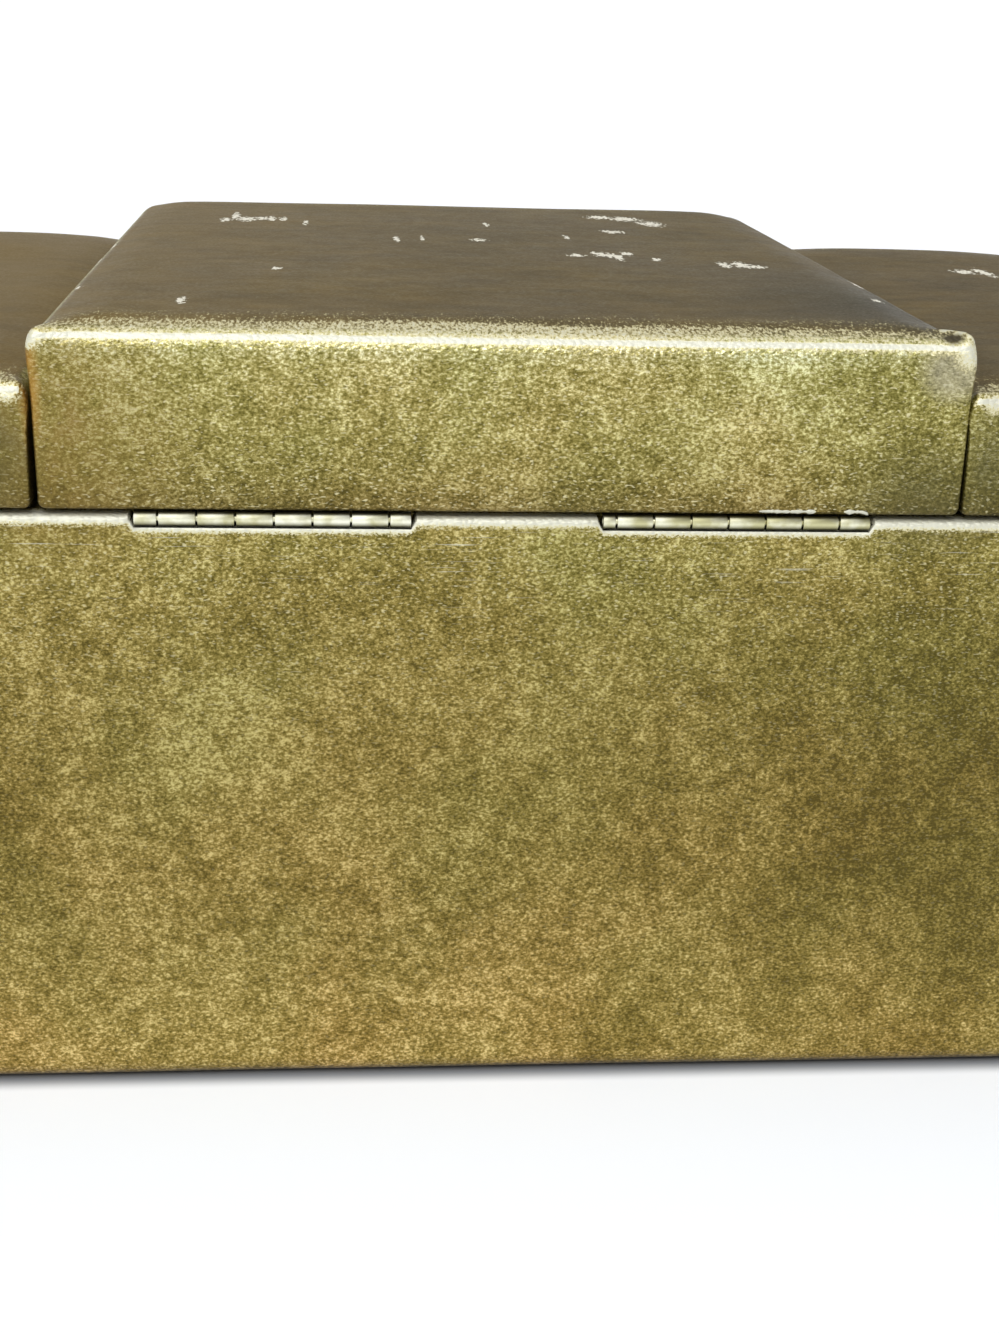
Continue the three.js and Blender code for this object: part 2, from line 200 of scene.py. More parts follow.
def finishPiece(bm, name, slot, body, nodes=(), modifiers=(), sharpAngle=45):
    bmesh.ops.scale(bm, vec=(mm, mm, mm), verts=bm.verts)
    mesh = meshFrom(bm, name)
    mesh.materials.append(finishes[slot])
    mesh.shade_smooth()
    mesh.set_sharp_from_angle(angle=math.radians(sharpAngle))
    piece = addObject(name, mesh)
    for kind, settings in modifiers:
        modifier = piece.modifiers.new(kind.title(), kind)
        for key, value in settings.items():
            setattr(modifier, key, value)
    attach(piece, body)
    if nodes:
        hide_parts(*nodes)
    return piece


# Small tools for materials

def linear(hexColour):
    channels = [int(hexColour[i:i + 2], 16) / 255 for i in (1, 3, 5)]
    return [c / 12.92 if c <= 0.04045 else ((c + 0.055) / 1.055) ** 2.4 for c in channels] + [1.0]


def addNode(tree, kind, sockets=(), out=0, **settings):  # sockets by name or in order, gives an output
    node = tree.nodes.new("ShaderNode" + kind)
    for key, value in settings.items():
        setattr(node, key, value)
    for key, value in sockets.items() if isinstance(sockets, dict) else enumerate(sockets):
        if isinstance(value, bpy.types.NodeSocket):
            tree.links.new(value, node.inputs[key])
        else:
            node.inputs[key].default_value = linear(value) if isinstance(value, str) else value
    return node.outputs[out] if node.outputs else None


mixColours = {"out": 2, "data_type": "RGBA"}   # settings of a node that mixes two colours
tintColours = mixColours | {"blend_type": "MULTIPLY"}


def setRamp(socket, stops):  # places and colours of a colour ramp's stops
    elements = socket.node.color_ramp.elements
    while len(elements) < len(stops):
        elements.new(1.0)
    for element, (stop, colour) in zip(elements, stops):
        element.position = stop
        element.color = linear(colour) if isinstance(colour, str) else (*colour, 1)


def startMaterial(name):
    material = bpy.data.materials.new(name)
    material.use_nodes = True
    material.node_tree.nodes.clear()
    add = partial(addNode, material.node_tree)
    place = add("TexCoord", out="Object")
    millimetres = add("Mapping", {"Vector": place, "Scale": (1000, 1000, 1000)})
    return material, add, millimetres


def endMaterial(add, sockets):
    add("OutputMaterial", {"Surface": add("BsdfPrincipled", sockets)})


# Gold leatherette: embossed vinyl with metal pigment under a clear coat.
# The eye sees fine pebbled grain with painted gold glints, cloudy olive patina, pale edges that are partly
# rubbed and partly a painted highlight, and chipped spots.
goldSkin = {
    "tones": [(0.10, "#584d17"), (0.40, "#7d6f31"), (0.62, "#9a894a"), (0.95, "#d2c384")],
    "brownDrift": (1.04, 0.98, 0.94, 1),
    "oliveDrift": (0.985, 1.0, 0.96, 1),
    # patina by height in millimetres, partly painted light and shade: dark along the foot rounding and at the
    # lids' lower edges over the seam, where shade falls, warm above the foot, dull on the body, and faded and
    # painted lighter towards the tops of the lids
    "heightPatinaAndShading": [
        (0.5, (0.48, 0.42, 0.40)),
        (1.0, (0.56, 0.49, 0.47)),
        (1.6, (0.80, 0.71, 0.68)),
        (2.2, (1.04, 0.95, 0.93)),
        (3.6, (1.24, 1.15, 1.15)),
        (10, (1.22, 1.14, 1.12)),
        (30, (1.00, 0.95, 0.87)),
        (65, (0.88, 0.87, 0.76)),
        (88, (0.95, 0.98, 0.90)),
        (98, (1.07, 1.14, 1.13)),
        (103.2, (1.10, 1.15, 1.15)),
        (104, (0.62, 0.60, 0.56)),
        (109, (0.94, 0.98, 0.97)),
        (116, (1.18, 1.28, 1.40)),
        (122, (1.29, 1.42, 1.66)),
        (128, (1.41, 1.60, 2.04)),
        (131, (1.75, 2.10, 3.60)),
    ],
    "darkTops": ("#5c4c2a", "#917a4b"),   # the tops are dark brown
    "topOlive": (1.08, 1.03, 0.76, 1),   # patches of the tops have kept some of the old olive
    "topShade": "#4d4433",
    "topShadeSpots": [((-67, 66, 133), (31, 60, 20))],
    # painted glint: the colour of bright specks where grain would catch the light
    "paintedGlint": "#e9dfae",
    # tones of the pale edges, which are partly rubbed and partly a painted highlight
    "paleEdgeTones": [
        (0.3, "#8a7c45"), (0.5, "#a4965c"), (0.66, "#d6cd9f"), (0.8, "#dedbc0"), (0.95, "#d6d4c0"),
    ],
    # pale colour of the painted crease highlights
    "pale": "#d6d4c0",
    "chip": "#f6f1dd",
    "halo": "#5f5524",
    # painted shade in the pockets of the folds at the back corners
    "fold": "#463d20",
    # size in millimetres, stretch along x, y and z (more is finer), detail and roughness
    "patterns": {
        "flecks": (0.62, (1, 1, 1.4), 2, 0.7),       # pigment, drawn out a little sideways on the walls
        "clouds": (22, (1, 1, 1), 5, 0.5),           # patina patches
        "smudges": (3.2, (1, 1, 1), 4, 0.5),
        "drifts": (34, (1, 1, 1), 3, 0.5),           # brown and olive parts of the patina
        "sparks": (0.55, (0.7, 0.7, 1.9), 0, 0.5),   # painted glints: bright specks that stand for grain catching the light
        "streaks": (13, (1, 13 / 6, 1), 6, 0.65),    # wiped along the tops
        "paleFlecks": (0.45, (1, 0.35, 1.3), 2, 0.7),      # flecks of the pale edges, partly worn and partly painted highlight, drawn out over the front and back edges
        "creases": (14, (1, 1, 14 / 0.3), 1, 0.5),
        "rags": (0.7, (1, 0.4, 1), 3, 0.5),          # ragged outlines of the chips
    },
    "contrasts": {"flecks": 2.0, "clouds": 0.6, "smudges": 0.75},
    "pebble": 0.95,       # grain of the emboss, in millimetres
    "pebbleRange": (0.7, 0.1),
    "grainDepth": 0.09,
    "fleckRelief": 0.8,
    "shadeRange": (-40, -85),   # one end of the box is darker, and more olive
    "shade": 0.10,
    "shadeOlive": 0.6,
    "driftRange": (0.4, 0.62),
    "sparkRange": (0.66, 0.78),
    "sparkHeights": (60, 105),  # fewer painted glints towards the foot
    "sparkShares": (0.1, 0.7),
    "streakRange": (0.3, 0.8),
    "lighterEndRange": (0, 120),     # the tops are lighter towards one end
    "lighterEnd": 0.4,
    "wornAndLitRange": (0.99, 1.15),
    "paleFleckContrast": 0.9,
    "foldShadeRange": (0.25, 0.6),
    "creaseRange": (0.68, 0.76),
    "creaseHeights": (84, 100),
    "creaseTop": 103,
    "creaseHighlight": 0.6,
    "metallic": 0.85,
    "wornMatt": 0.6,      # how much of its metal the worn and the chipped skin has lost
    "chipMatt": 0.7,
    "roughness": (0.48, 0.34),
    "coat": 0.12,
    "coatRoughness": 0.3,
    # duller and brighter patches: a change of tone, and spots with their middles and half sizes
    "patches": [
        (-0.13, [
            ((-72, 100, 42), (40, 30, 48)), ((84, 100, 50), (18, 30, 30)), ((5, 100, 48), (16, 30, 22)),
            ((8, 100, 91), (48, 30, 18)), ((-66, 100, 113), (17, 30, 15)),
        ]),
        (0.12, [
            ((55, 100, 66), (24, 30, 60)), ((-31, 100, 117), (24, 30, 18)),
            ((30, 100, 90), (20, 30, 16)),
        ]),
    ],
    # brown and amber stains, darker olive patches on the lid walls and a grey hazy patch: strength, the
    # pattern that breaks them up, and spots
    "stains": [
        ("#86692f", 1.3, "smudges", [((76, 100, 116), (30, 12, 26))]),
        ("#4d4a27", 1.3, "smudges", [
            ((82, 100, 112), (9, 9, 14)), ((-80, 100, 112), (9, 9, 14)), ((-70, 100, 107), (16, 9, 12)),
        ]),
        ("#b98535", 1.6, "smudges", [((75.6, 100, 124), (2.0, 3, 13))]),
        ("#b3ac97", 1.8, "flecks", [((-72, 100, 128), (7, 5, 6))]),
    ],
    # spots of painted shade in the pockets of the folds
    "foldShadeSpots": [((-71.8, 97, 132.8), (2.9, 3.8, 3)), ((74, 94, 132), (2, 3, 3))],
    # pale corner patches, partly rubbed and partly a painted highlight on the rounded corners
    "paleSpots": [
        ((75, 99, 131), (5, 6, 4)), ((-74, 99, 130.5), (6, 7, 6)), ((79, 99, 122.5), (5, 5, 4)),
        ((-79, 99, 122.5), (5, 5, 4)), ((-72.8, 91.5, 133.3), (5, 5, 4)), ((-74.4, 95, 133), (5, 5, 5)),
        ((-75, 97, 132), (5, 5, 5)),
    ],
    # chips in the tops, each a blob with its middle and half sizes along x and y
    "chips": [
        (53, -48.5, 1.0, 4.2), (51, -56, 0.9, 7.5), (48.5, -50, 2.4, 4.2),
        (44.8, -52, 1.6, 3.6), (42.7, -51, 0.9, 4.8), (40, -52, 0.8, 3.7),
        (34.7, -44.7, 0.6, 4.0), (38.9, 34.5, 1.0, 1.8), (53.8, 74.8, 0.8, 4.0),
        (15, -15, 0.7, 4.0), (9.4, -17.4, 0.6, 3.7), (-2.7, -16.2, 1.6, 2.6), (-6.6, -48.4, 0.5, 4.2),
        (-36, -70, 3.3, 3.8), (-41.6, -67, 3.4, 4.6), (-46.3, -57.5, 2.7, 5.5),
        (-34.6, -38, 2.7, 2.7), (-22.8, -25.6, 0.6, 4.2),
        (-21, 6, 1.8, 2.3), (-26, 3.2, 1.6, 3.3), (-28.2, 5.6, 1.8, 3.6), (-29.5, 9, 1.1, 5.2),
        (-32, 2, 1.4, 3.0), (-37, 10.7, 1.0, 2.6),
        (-49.8, 16.4, 1.1, 4.3), (-53.4, 16, 1.5, 4.8), (-55.6, 18, 2.4, 2.5),
        (-119.8, -46, 2.3, 4.0), (-124.5, -45, 1.6, 7.0),
        (-72.5, 34.3, 0.5, 4.8), (-69.8, 58, 1.0, 2.0),
        (73.2, 54, 0.6, 2.0), (74.3, 14.3, 0.7, 3.0), (74.1, -8.7, 0.7, 3.3),
    ],
    "chipLevel": 130,     # the blobs reach this far down into the lids
    "chipHeight": 30,
    "chipShare": 0.62,    # part of a blob inside its ragged outline
    "chipEdge": (1.60, 1.72),
    "chipRagged": 2.4,
    "chipInside": (0, 0.1),
    "haloShare": 0.45,
}


def spotsOf(add, place, spots):  # 1 in the middle of each spot, 0 from its edge on
    found = None
    for middle, half in spots:
        shift = tuple(-m / h for m, h in zip(middle, half))
        scale = tuple(1 / h for h in half)
        local = add("Mapping", {"Vector": place, "Location": shift, "Scale": scale})
        far = add("VectorMath", [local], out="Value", operation="LENGTH")
        spot = add("MapRange", [far, 1, 0])
        if found is not None:
            spot = add("Math", [found, spot], operation="MAXIMUM")
        found = spot
    return found


def goldLeatherette():
    material, add, place = startMaterial("gold_leatherette")
    along = add("SeparateXYZ", [place], out=0)
    height = add("SeparateXYZ", [place], out=2)
    places = {}
    patterns = {}
    for name, (size, stretch, detail, roughness) in goldSkin["patterns"].items():
        places[name] = add("Mapping", {"Vector": place, "Scale": stretch})
        patterns[name] = add("TexNoise", {
            "Vector": places[name],
            "Scale": 1 / size,
            "Detail": detail,
            "Roughness": roughness,
        })

    # patina shifts how many of the flecks are gold
    tone = 0.5
    for name, contrast in goldSkin["contrasts"].items():
        around = add("Math", [patterns[name], 0.5], operation="SUBTRACT")
        tone = add("Math", [around, contrast, tone], operation="MULTIPLY_ADD")
    shade = add("MapRange", [along, *goldSkin["shadeRange"], 0, goldSkin["shade"]])
    tone = add("Math", [tone, shade], operation="SUBTRACT")
    for change, spots in goldSkin["patches"]:
        patch = spotsOf(add, place, spots)
        tone = add("Math", [patch, change, tone], operation="MULTIPLY_ADD")
    colour = add("ValToRGB", {"Fac": tone})
    setRamp(colour, goldSkin["tones"])

    # brown and olive drifts
    drifts = add("Math", [shade, goldSkin["shadeOlive"], patterns["drifts"]], operation="MULTIPLY_ADD")
    drift = add("MapRange", [drifts, *goldSkin["driftRange"]])
    hue = add("Mix", {0: drift, 6: goldSkin["brownDrift"], 7: goldSkin["oliveDrift"]}, **mixColours)
    colour = add("Mix", {0: 1.0, 6: colour, 7: hue}, **tintColours)

    # patina by height, with painted shade at the foot and under the lids' lower edges, and painted light
    # towards the lid tops
    tallest = goldSkin["heightPatinaAndShading"][-1][0]
    share = add("Math", [height, tallest], operation="DIVIDE")
    tint = add("ValToRGB", {"Fac": share})
    setRamp(tint, [(level / tallest, tints) for level, tints in goldSkin["heightPatinaAndShading"]])
    colour = add("Mix", {0: 1.0, 6: colour, 7: tint}, clamp_result=True, **tintColours)

    # what lies over it, each layer with its share and colour: first the painted glints, bright specks where
    # grain would catch the light
    layers = []
    spark = add("MapRange", [patterns["sparks"], *goldSkin["sparkRange"]])
    sparkShare = add("MapRange", [height, *goldSkin["sparkHeights"], *goldSkin["sparkShares"]])
    spark = add("Math", [spark, sparkShare], operation="MULTIPLY")
    layers.append((spark, goldSkin["paintedGlint"]))

    # dark smooth tops with wiped streaks
    smooth = add("Attribute", out="Fac", attribute_name="rubbedSmooth")
    lighterEnd = add("MapRange", [along, *goldSkin["lighterEndRange"], 0, goldSkin["lighterEnd"]])
    streaks = add("Math", [patterns["streaks"], lighterEnd], operation="ADD")
    streak = add("MapRange", [streaks, *goldSkin["streakRange"]])
    dark, light = goldSkin["darkTops"]
    topTone = add("Mix", {0: streak, 6: dark, 7: light}, **mixColours)
    olive = add("Mix", {0: drift, 6: (1, 1, 1, 1), 7: goldSkin["topOlive"]}, **mixColours)
    topTone = add("Mix", {0: 1.0, 6: topTone, 7: olive}, **tintColours)
    shaded = spotsOf(add, place, goldSkin["topShadeSpots"])
    topTone = add("Mix", {0: shaded, 6: topTone, 7: goldSkin["topShade"]}, **mixColours)
    layers.append((smooth, topTone))

    for hexColour, strength, breaks, spots in goldSkin["stains"]:
        spot = spotsOf(add, place, spots)
        share = add("Math", [spot, strength], operation="MULTIPLY", use_clamp=True)
        share = add("Math", [share, patterns[breaks]], operation="MULTIPLY")
        layers.append((share, hexColour))

    # pale edges, partly rubbed and partly a painted highlight, which thin out into flecks, and painted shade
    # in the pockets of folds
    wearAndHighlight = add("Attribute", out="Fac", attribute_name="edgeWearAndHighlight")
    pale = spotsOf(add, place, goldSkin["paleSpots"])
    wearAndHighlight = add("Math", [wearAndHighlight, pale], operation="MAXIMUM")
    paleEdgeLevel = add("Math", [wearAndHighlight, patterns["paleFlecks"]], operation="ADD")
    wornAndLit = add("MapRange", [paleEdgeLevel, *goldSkin["wornAndLitRange"]], interpolation_type="SMOOTHSTEP")
    paleFleckGrain = add("Math", [patterns["paleFlecks"], 0.5], operation="SUBTRACT")
    paleEdgeShare = add("Math", [paleFleckGrain, goldSkin["paleFleckContrast"], wearAndHighlight], operation="MULTIPLY_ADD")
    paleEdgeTone = add("ValToRGB", {"Fac": paleEdgeShare})
    setRamp(paleEdgeTone, goldSkin["paleEdgeTones"])
    layers.append((wornAndLit, paleEdgeTone))
    # painted shade in the pockets of the folds at the back corners
    pocketShade = spotsOf(add, place, goldSkin["foldShadeSpots"])
    fold = add("MapRange", [pocketShade, *goldSkin["foldShadeRange"]])
    layers.append((fold, goldSkin["fold"]))

    # painted highlights along thin creases of the body, just under the rim
    creaseHighlight = add("MapRange", [patterns["creases"], *goldSkin["creaseRange"]])
    upper = add("MapRange", [height, *goldSkin["creaseHeights"]])
    onBody = add("Math", [height, goldSkin["creaseTop"]], operation="LESS_THAN")
    for factor in (upper, onBody, goldSkin["creaseHighlight"]):
        creaseHighlight = add("Math", [creaseHighlight, factor], operation="MULTIPLY")
    layers.append((creaseHighlight, goldSkin["pale"]))

    # chips, with an olive stain round them
    share = goldSkin["chipShare"]
    blobs = []
    for x, y, halfX, halfY in goldSkin["chips"]:
        half = (halfX / share, halfY / share, goldSkin["chipHeight"])
        blobs.append(((x, y, goldSkin["chipLevel"]), half))
    chipSpots = spotsOf(add, place, blobs)
    ragged = add("Math", [patterns["rags"], goldSkin["chipRagged"], chipSpots], operation="MULTIPLY_ADD")
    chip = add("MapRange", [ragged, *goldSkin["chipEdge"]])
    inside = add("MapRange", [chipSpots, *goldSkin["chipInside"]])
    chip = add("Math", [chip, inside], operation="MULTIPLY")
    halo = add("Math", [chipSpots, goldSkin["haloShare"]], operation="MULTIPLY")
    layers.append((halo, goldSkin["halo"]))
    layers.append((chip, goldSkin["chip"]))
    for share, over in layers:
        colour = add("Mix", {0: share, 6: colour, 7: over}, **mixColours)

    # bare skin is less metallic, and grain fades on the smooth tops
    bare = add("Math", [wornAndLit, goldSkin["wornMatt"]], operation="MULTIPLY")
    bare = add("Math", [chip, goldSkin["chipMatt"], bare], operation="MULTIPLY_ADD", use_clamp=True)
    metallic = add("Math", [goldSkin["metallic"], bare], operation="SUBTRACT", use_clamp=True)
    roughness = add("MapRange", [tone, 0, 1, *goldSkin["roughness"]])
    cells = add("TexVoronoi", {"Vector": places["flecks"], "Scale": 1 / goldSkin["pebble"]})
    pebbles = add("MapRange", [cells, *goldSkin["pebbleRange"]])
    relief = add("Math", [patterns["flecks"], goldSkin["fleckRelief"], pebbles], operation="MULTIPLY_ADD")
    strength = add("Math", [1.0, smooth], operation="SUBTRACT")
    bump = add("Bump", {"Strength": strength, "Distance": goldSkin["grainDepth"] * mm, "Height": relief})
    endMaterial(add, {
        "Base Color": colour,
        "Metallic": metallic,
        "Roughness": roughness,
        "Coat Weight": goldSkin["coat"],
        "Coat Roughness": goldSkin["coatRoughness"],
        "Normal": bump,
    })
    return material


# Cotton velvet: a short dense pile that goes pale along its shoulders and is brushed into patches.
velvetCloth = {
    "deep": "#3d0811",
    "lit": "#7a1424",
    "sheen": "#e08a94",
    "pile": 0.45,         # in millimetres, coarser than real pile so that it shows
    "pileDepth": 0.25,
    "brushed": 18,
    "brushedRange": (0.35, 0.65),
}


def cottonVelvet():
    material, add, place = startMaterial("cotton_velvet")
    brushed = add("TexNoise", {"Vector": place, "Scale": 1 / velvetCloth["brushed"], "Detail": 3.0})
    pile = add("TexNoise", {"Vector": place, "Scale": 1 / velvetCloth["pile"], "Detail": 2.0})
    share = add("MapRange", [brushed, *velvetCloth["brushedRange"]])
    tips = add("Math", [share, pile], operation="MULTIPLY")
    colour = add("Mix", {0: tips, 6: velvetCloth["deep"], 7: velvetCloth["lit"]}, **mixColours)
    bump = add("Bump", {"Strength": 0.6, "Distance": velvetCloth["pileDepth"] * mm, "Height": pile})
    endMaterial(add, {
        "Base Color": colour,
        "Roughness": 0.95,
        "Specular IOR Level": 0.2,
        "Sheen Weight": 0.8,
        "Sheen Roughness": 0.35,
        "Sheen Tint": velvetCloth["sheen"],
        "Normal": bump,
    })
    return material


# Nickel-plated brass strip: pale and satin, with olive tarnish in clouds, and painted shade under the barrels
# and over them.
hingeMetal = {
    "bright": "#fffdf0",
    "tarnish": "#cfcaa2",
    # painted shade by height, as shares of the brightness: dull under the barrels and over them
    "shadeByHeight": [(101.2, 0.22), (101.6, 0.42), (102.2, 1.0), (102.7, 1.0), (103.0, 0.5), (103.4, 0.2)],
    "warmth": 0.9,
    "dullRange": (10, -45),   # the hinges towards one end are darker and more olive
    "dull": 0.2,
    "cloud": 3.5,         # tarnish and scratches, in millimetres
    "cloudRange": (0.42, 0.7),
    "scratch": 0.25,
    "roughness": (0.32, 0.5),
}


def platedBrass():
    material, add, place = startMaterial("nickel_plated_brass")
    cloud = add("TexNoise", {"Vector": place, "Scale": 1 / hingeMetal["cloud"], "Detail": 4.0})
    scratch = add("TexNoise", {"Vector": place, "Scale": 1 / hingeMetal["scratch"], "Detail": 2.0})
    along = add("SeparateXYZ", [place], out=0)
    dull = add("MapRange", [along, *hingeMetal["dullRange"], 0, hingeMetal["dull"]])
    cloud = add("Math", [cloud, dull], operation="ADD")
    share = add("MapRange", [cloud, *hingeMetal["cloudRange"]])
    colour = add("Mix", {0: share, 6: hingeMetal["bright"], 7: hingeMetal["tarnish"]}, **mixColours)
    # painted shade by height, under the barrels and over them
    height = add("SeparateXYZ", [place], out=2)
    lowest, highest = [hingeMetal["shadeByHeight"][end][0] for end in (0, -1)]
    up = add("MapRange", [height, lowest, highest])
    tint = add("ValToRGB", {"Fac": up})
    setRamp(tint, [
        ((level - lowest) / (highest - lowest), (share, share, hingeMetal["warmth"] * share))
        for level, share in hingeMetal["shadeByHeight"]
    ])
    colour = add("Mix", {0: 1.0, 6: colour, 7: tint}, **tintColours)
    rough = add("MapRange", [scratch, 0, 1, *hingeMetal["roughness"]])
    endMaterial(add, {"Base Color": colour, "Metallic": 1.0, "Roughness": rough})
    return material


# Silvered glass: a clear reflection with faint smears.
mirrorGlass = {"silver": "#e4ebe9", "smear": 30, "roughness": (0, 0.06)}


def silveredGlass():
    material, add, place = startMaterial("silvered_glass")
    smear = add("TexNoise", {"Vector": place, "Scale": 1 / mirrorGlass["smear"], "Detail": 3.0})
    rough = add("MapRange", [smear, 0, 1, *mirrorGlass["roughness"]])
    endMaterial(add, {"Base Color": mirrorGlass["silver"], "Metallic": 1.0, "Roughness": rough})
    return material


# Pressed fibreboard: matt brown with short darker fibres, and painted shade round the rim, where the board
# shows in the hinge notches.
boardStock = {
    "dark": "#7d5f3a",
    "light": "#b9976a",
    "rimShade": "#1a140c",
    "rimShadeHeights": (98, 99.5),
    "fibre": 1.2,
    "depth": 0.1,
}


def fibreboard():
    material, add, place = startMaterial("pressed_fibreboard")
    fibre = add("TexNoise", {
        "Vector": place,
        "Scale": 1 / boardStock["fibre"],
        "Detail": 5.0,
        "Roughness": 0.7,
    })
    colour = add("Mix", {0: fibre, 6: boardStock["dark"], 7: boardStock["light"]}, **mixColours)
    # painted shade near the rim, so that the board is dark in the hinge notches
    height = add("SeparateXYZ", [place], out=2)
    inRimShade = add("MapRange", [height, *boardStock["rimShadeHeights"]])
    colour = add("Mix", {0: inRimShade, 6: colour, 7: boardStock["rimShade"]}, **mixColours)
    bump = add("Bump", {"Strength": 0.3, "Distance": boardStock["depth"] * mm, "Height": fibre})
    endMaterial(add, {"Base Color": colour, "Roughness": 0.9, "Normal": bump})
    return material


# Wool felt: matted dark fibres, no gloss.
feltStock = {"dark": "#14110f", "light": "#3a332d", "fibre": 0.8, "depth": 0.2}


def woolFelt():
    material, add, place = startMaterial("wool_felt")
    fibre = add("TexNoise", {
        "Vector": place,
        "Scale": 1 / feltStock["fibre"],
        "Detail": 6.0,
        "Roughness": 0.75,
    })
    colour = add("Mix", {0: fibre, 6: feltStock["dark"], 7: feltStock["light"]}, **mixColours)
    bump = add("Bump", {"Strength": 0.5, "Distance": feltStock["depth"] * mm, "Height": fibre})
    endMaterial(add, {"Base Color": colour, "Roughness": 1.0, "Sheen Weight": 0.3, "Normal": bump})
    return material


finishes = {
    "gold_leatherette": goldLeatherette(),
    "velvet": cottonVelvet(),
    "hinge_metal": platedBrass(),
    "mirror": silveredGlass(),
    "board": fibreboard(),
    "felt": woolFelt(),
}
print("materials made")


# Hinge places, read from the pins: X along the pin, Y out of the box and Z up

hingeStrip = {
    "length": 44.5,
    "pitch": 6.2,
    "joint": 0.34,
    "thickness": 0.6,
    "barrelRadius": 1.25,
    "plateInner": -4.05,
    "plateOuter": -1.55,
    "bodyPlate": -0.95,
    "lidPlate": 1.2,
    "curl": 290,
    "curlSteps": 18,
    "bradRadius": 0.8,
    "bradHeight": 0.35,
    "bradSpacing": 14,
    "bradTaper": 0.8,
    "bradDome": 0.6,
    "pinRound": 0.2,
    "ease": 0.08,
    "calm": (3, 12),      # the skin lies flat near the hinges' height, and waves further off
    # how much of a knuckle comes first at the start of each strip
    "firstKnuckle": {
        "back_left": 0.83,
        "back_right": 0.57,
        "left_front": 0.7,
        "left_rear": 0.45,
        "right_front": 0.6,
        "right_rear": 0.8,
    },
    "turns": {"back": 0, "left": 90, "right": -90},
    "lids": {"back": "centre_lid", "left": "left_lid", "right": "right_lid"},
}


def hingePlace(name):
    low, high = boxOf(name + "_hinge_pin")
    turn = math.radians(hingeStrip["turns"][name.split("_")[0]])
    return Matrix.Translation((low + high) / 2) @ Matrix.Rotation(turn, 4, "Z")


hingePlaces = {name: hingePlace(name) for name in hingeStrip["firstKnuckle"]}


# Leatherette covers

lidCover = {
    "corner": 4.0,
    "tightCorner": 0.7,   # the uprights are sharper than the top corners
    "upperCorner": 2.0,
    "cornerBand": (-6, -2),   # heights from the top between which the top corners take over
    "ear": (0.5, 3.0),    # the skin is bunched at the back corners, by this much over this reach
    # a fold that stands up at one back corner, higher towards its end
    "pucker": {"centre": {"start": (-72, 89.5), "end": (-75.2, 97), "width": 1.5, "rise": (0.4, 2.2)}},
    "topRound": 3.8,
    "lowRound": 1.3,
    "crown": 1.2,
    "shoulder": 8,        # most of the crown rises within this distance of the edge
    "shoulderShare": 0.7,
    # how far each end is out of place along x, at the foot and at the top
    "lean": {
        "centre": ((0.9, 0.8), (-0.8, -0.3)),
        "left": ((0, 0), (1.4, 1.6)),
        "right": ((-0.6, -0.75), (0, 0)),
    },
    "turnIn": 5.8,
    "skin": 0.7,
    "boardCorner": 2.6,
    "boardRound": 2.4,
    "boardEase": 0.2,
    "frameWidth": 5,
    "frameCorner": 0.8,
    "gridStep": 4,
    "edgeCuts": (4.6, 6, 7.5, 9, 10.5, 12),
    "unevenness": 0.12,
    "waveLength": 28,
    # pale edges: partly rubbed, partly a painted highlight along the top edges and shoulders
    "wearAndHighlight": {
        "long": 1.3,
        "short": 0.5,
        "upright": 0.45,
        "foot": 0.4,
        "top": (1.3, 0.4),
        "wall": (1.3, 0.5),
        "flank": 0.59,
        "flankWall": (1.5, 3.2),
        "shoulder": 0.58,
        "middle": 0.13,
        "shoulderEnd": (-13, -6),
        "sparse": 0.47,
        "sparseReach": (12, 22),
        "smooth": 0.9,
    },
    # how far the front corners have sunk, and over what distance
    "sunken": {"centre": (1.1, 7), "left": (1.5, 11), "right": (1.5, 11)},
}


def coverShell(low, high, corner, topRound, lowRound):
    bm = cubeBetween(low, high)
    roundEdges(bm, uprights(bm), corner, 8)
    roundEdges(bm, edgesAt(bm, high.z), topRound, 8)
    roundEdges(bm, edgesAt(bm, low.z), lowRound, 4)
    return bm


# Sharper uprights, between a rounded lower edge and a top that is rounder at the front
def tightenCorners(bm, low, high, radii, band):
    drawn, tight, upper, foot = radii
    middle = (low + high) / 2
    half = (high - low) / 2
    for vert in bm.verts:
        under = max(low.z + foot - vert.co.z, 0)
        standBack = foot - math.sqrt(max(foot ** 2 - under ** 2, 0))
        inward = [half[a] - abs(vert.co[a] - middle[a]) - standBack for a in (0, 1)]
        if max(inward) < 2 * drawn and min(inward) <= drawn:
            top = upper if vert.co.y > middle.y else drawn
            scale = (tight + (top - tight) * smoothStep(vert.co.z - high.z, *band)) / drawn
            scale += (1 - scale) * smoothStep(max(inward), drawn, 2 * drawn)
            for axis in (0, 1):
                side = 1 if vert.co[axis] > middle[axis] else -1
                vert.co[axis] = middle[axis] + side * (half[axis] - standBack - inward[axis] * scale)


def unevenBy(bm, cover, hingeLevel):  # hand-laid skin is flat only beside the hinges
    for vert in bm.verts:
        away = smoothStep(abs(vert.co.z - hingeLevel), *hingeStrip["calm"])
        vert.co += noise.noise_vector(vert.co / cover["waveLength"]) * cover["unevenness"] * away


def skinOf(thickness):
    return ("SOLIDIFY", {"thickness": thickness * mm, "offset": -1.0})


def riseFrom(depth, reach):  # from 0 at an edge to 1 at a distance, flattening out
    return 1 - (1 - min(max(depth / reach, 0), 1)) ** 2


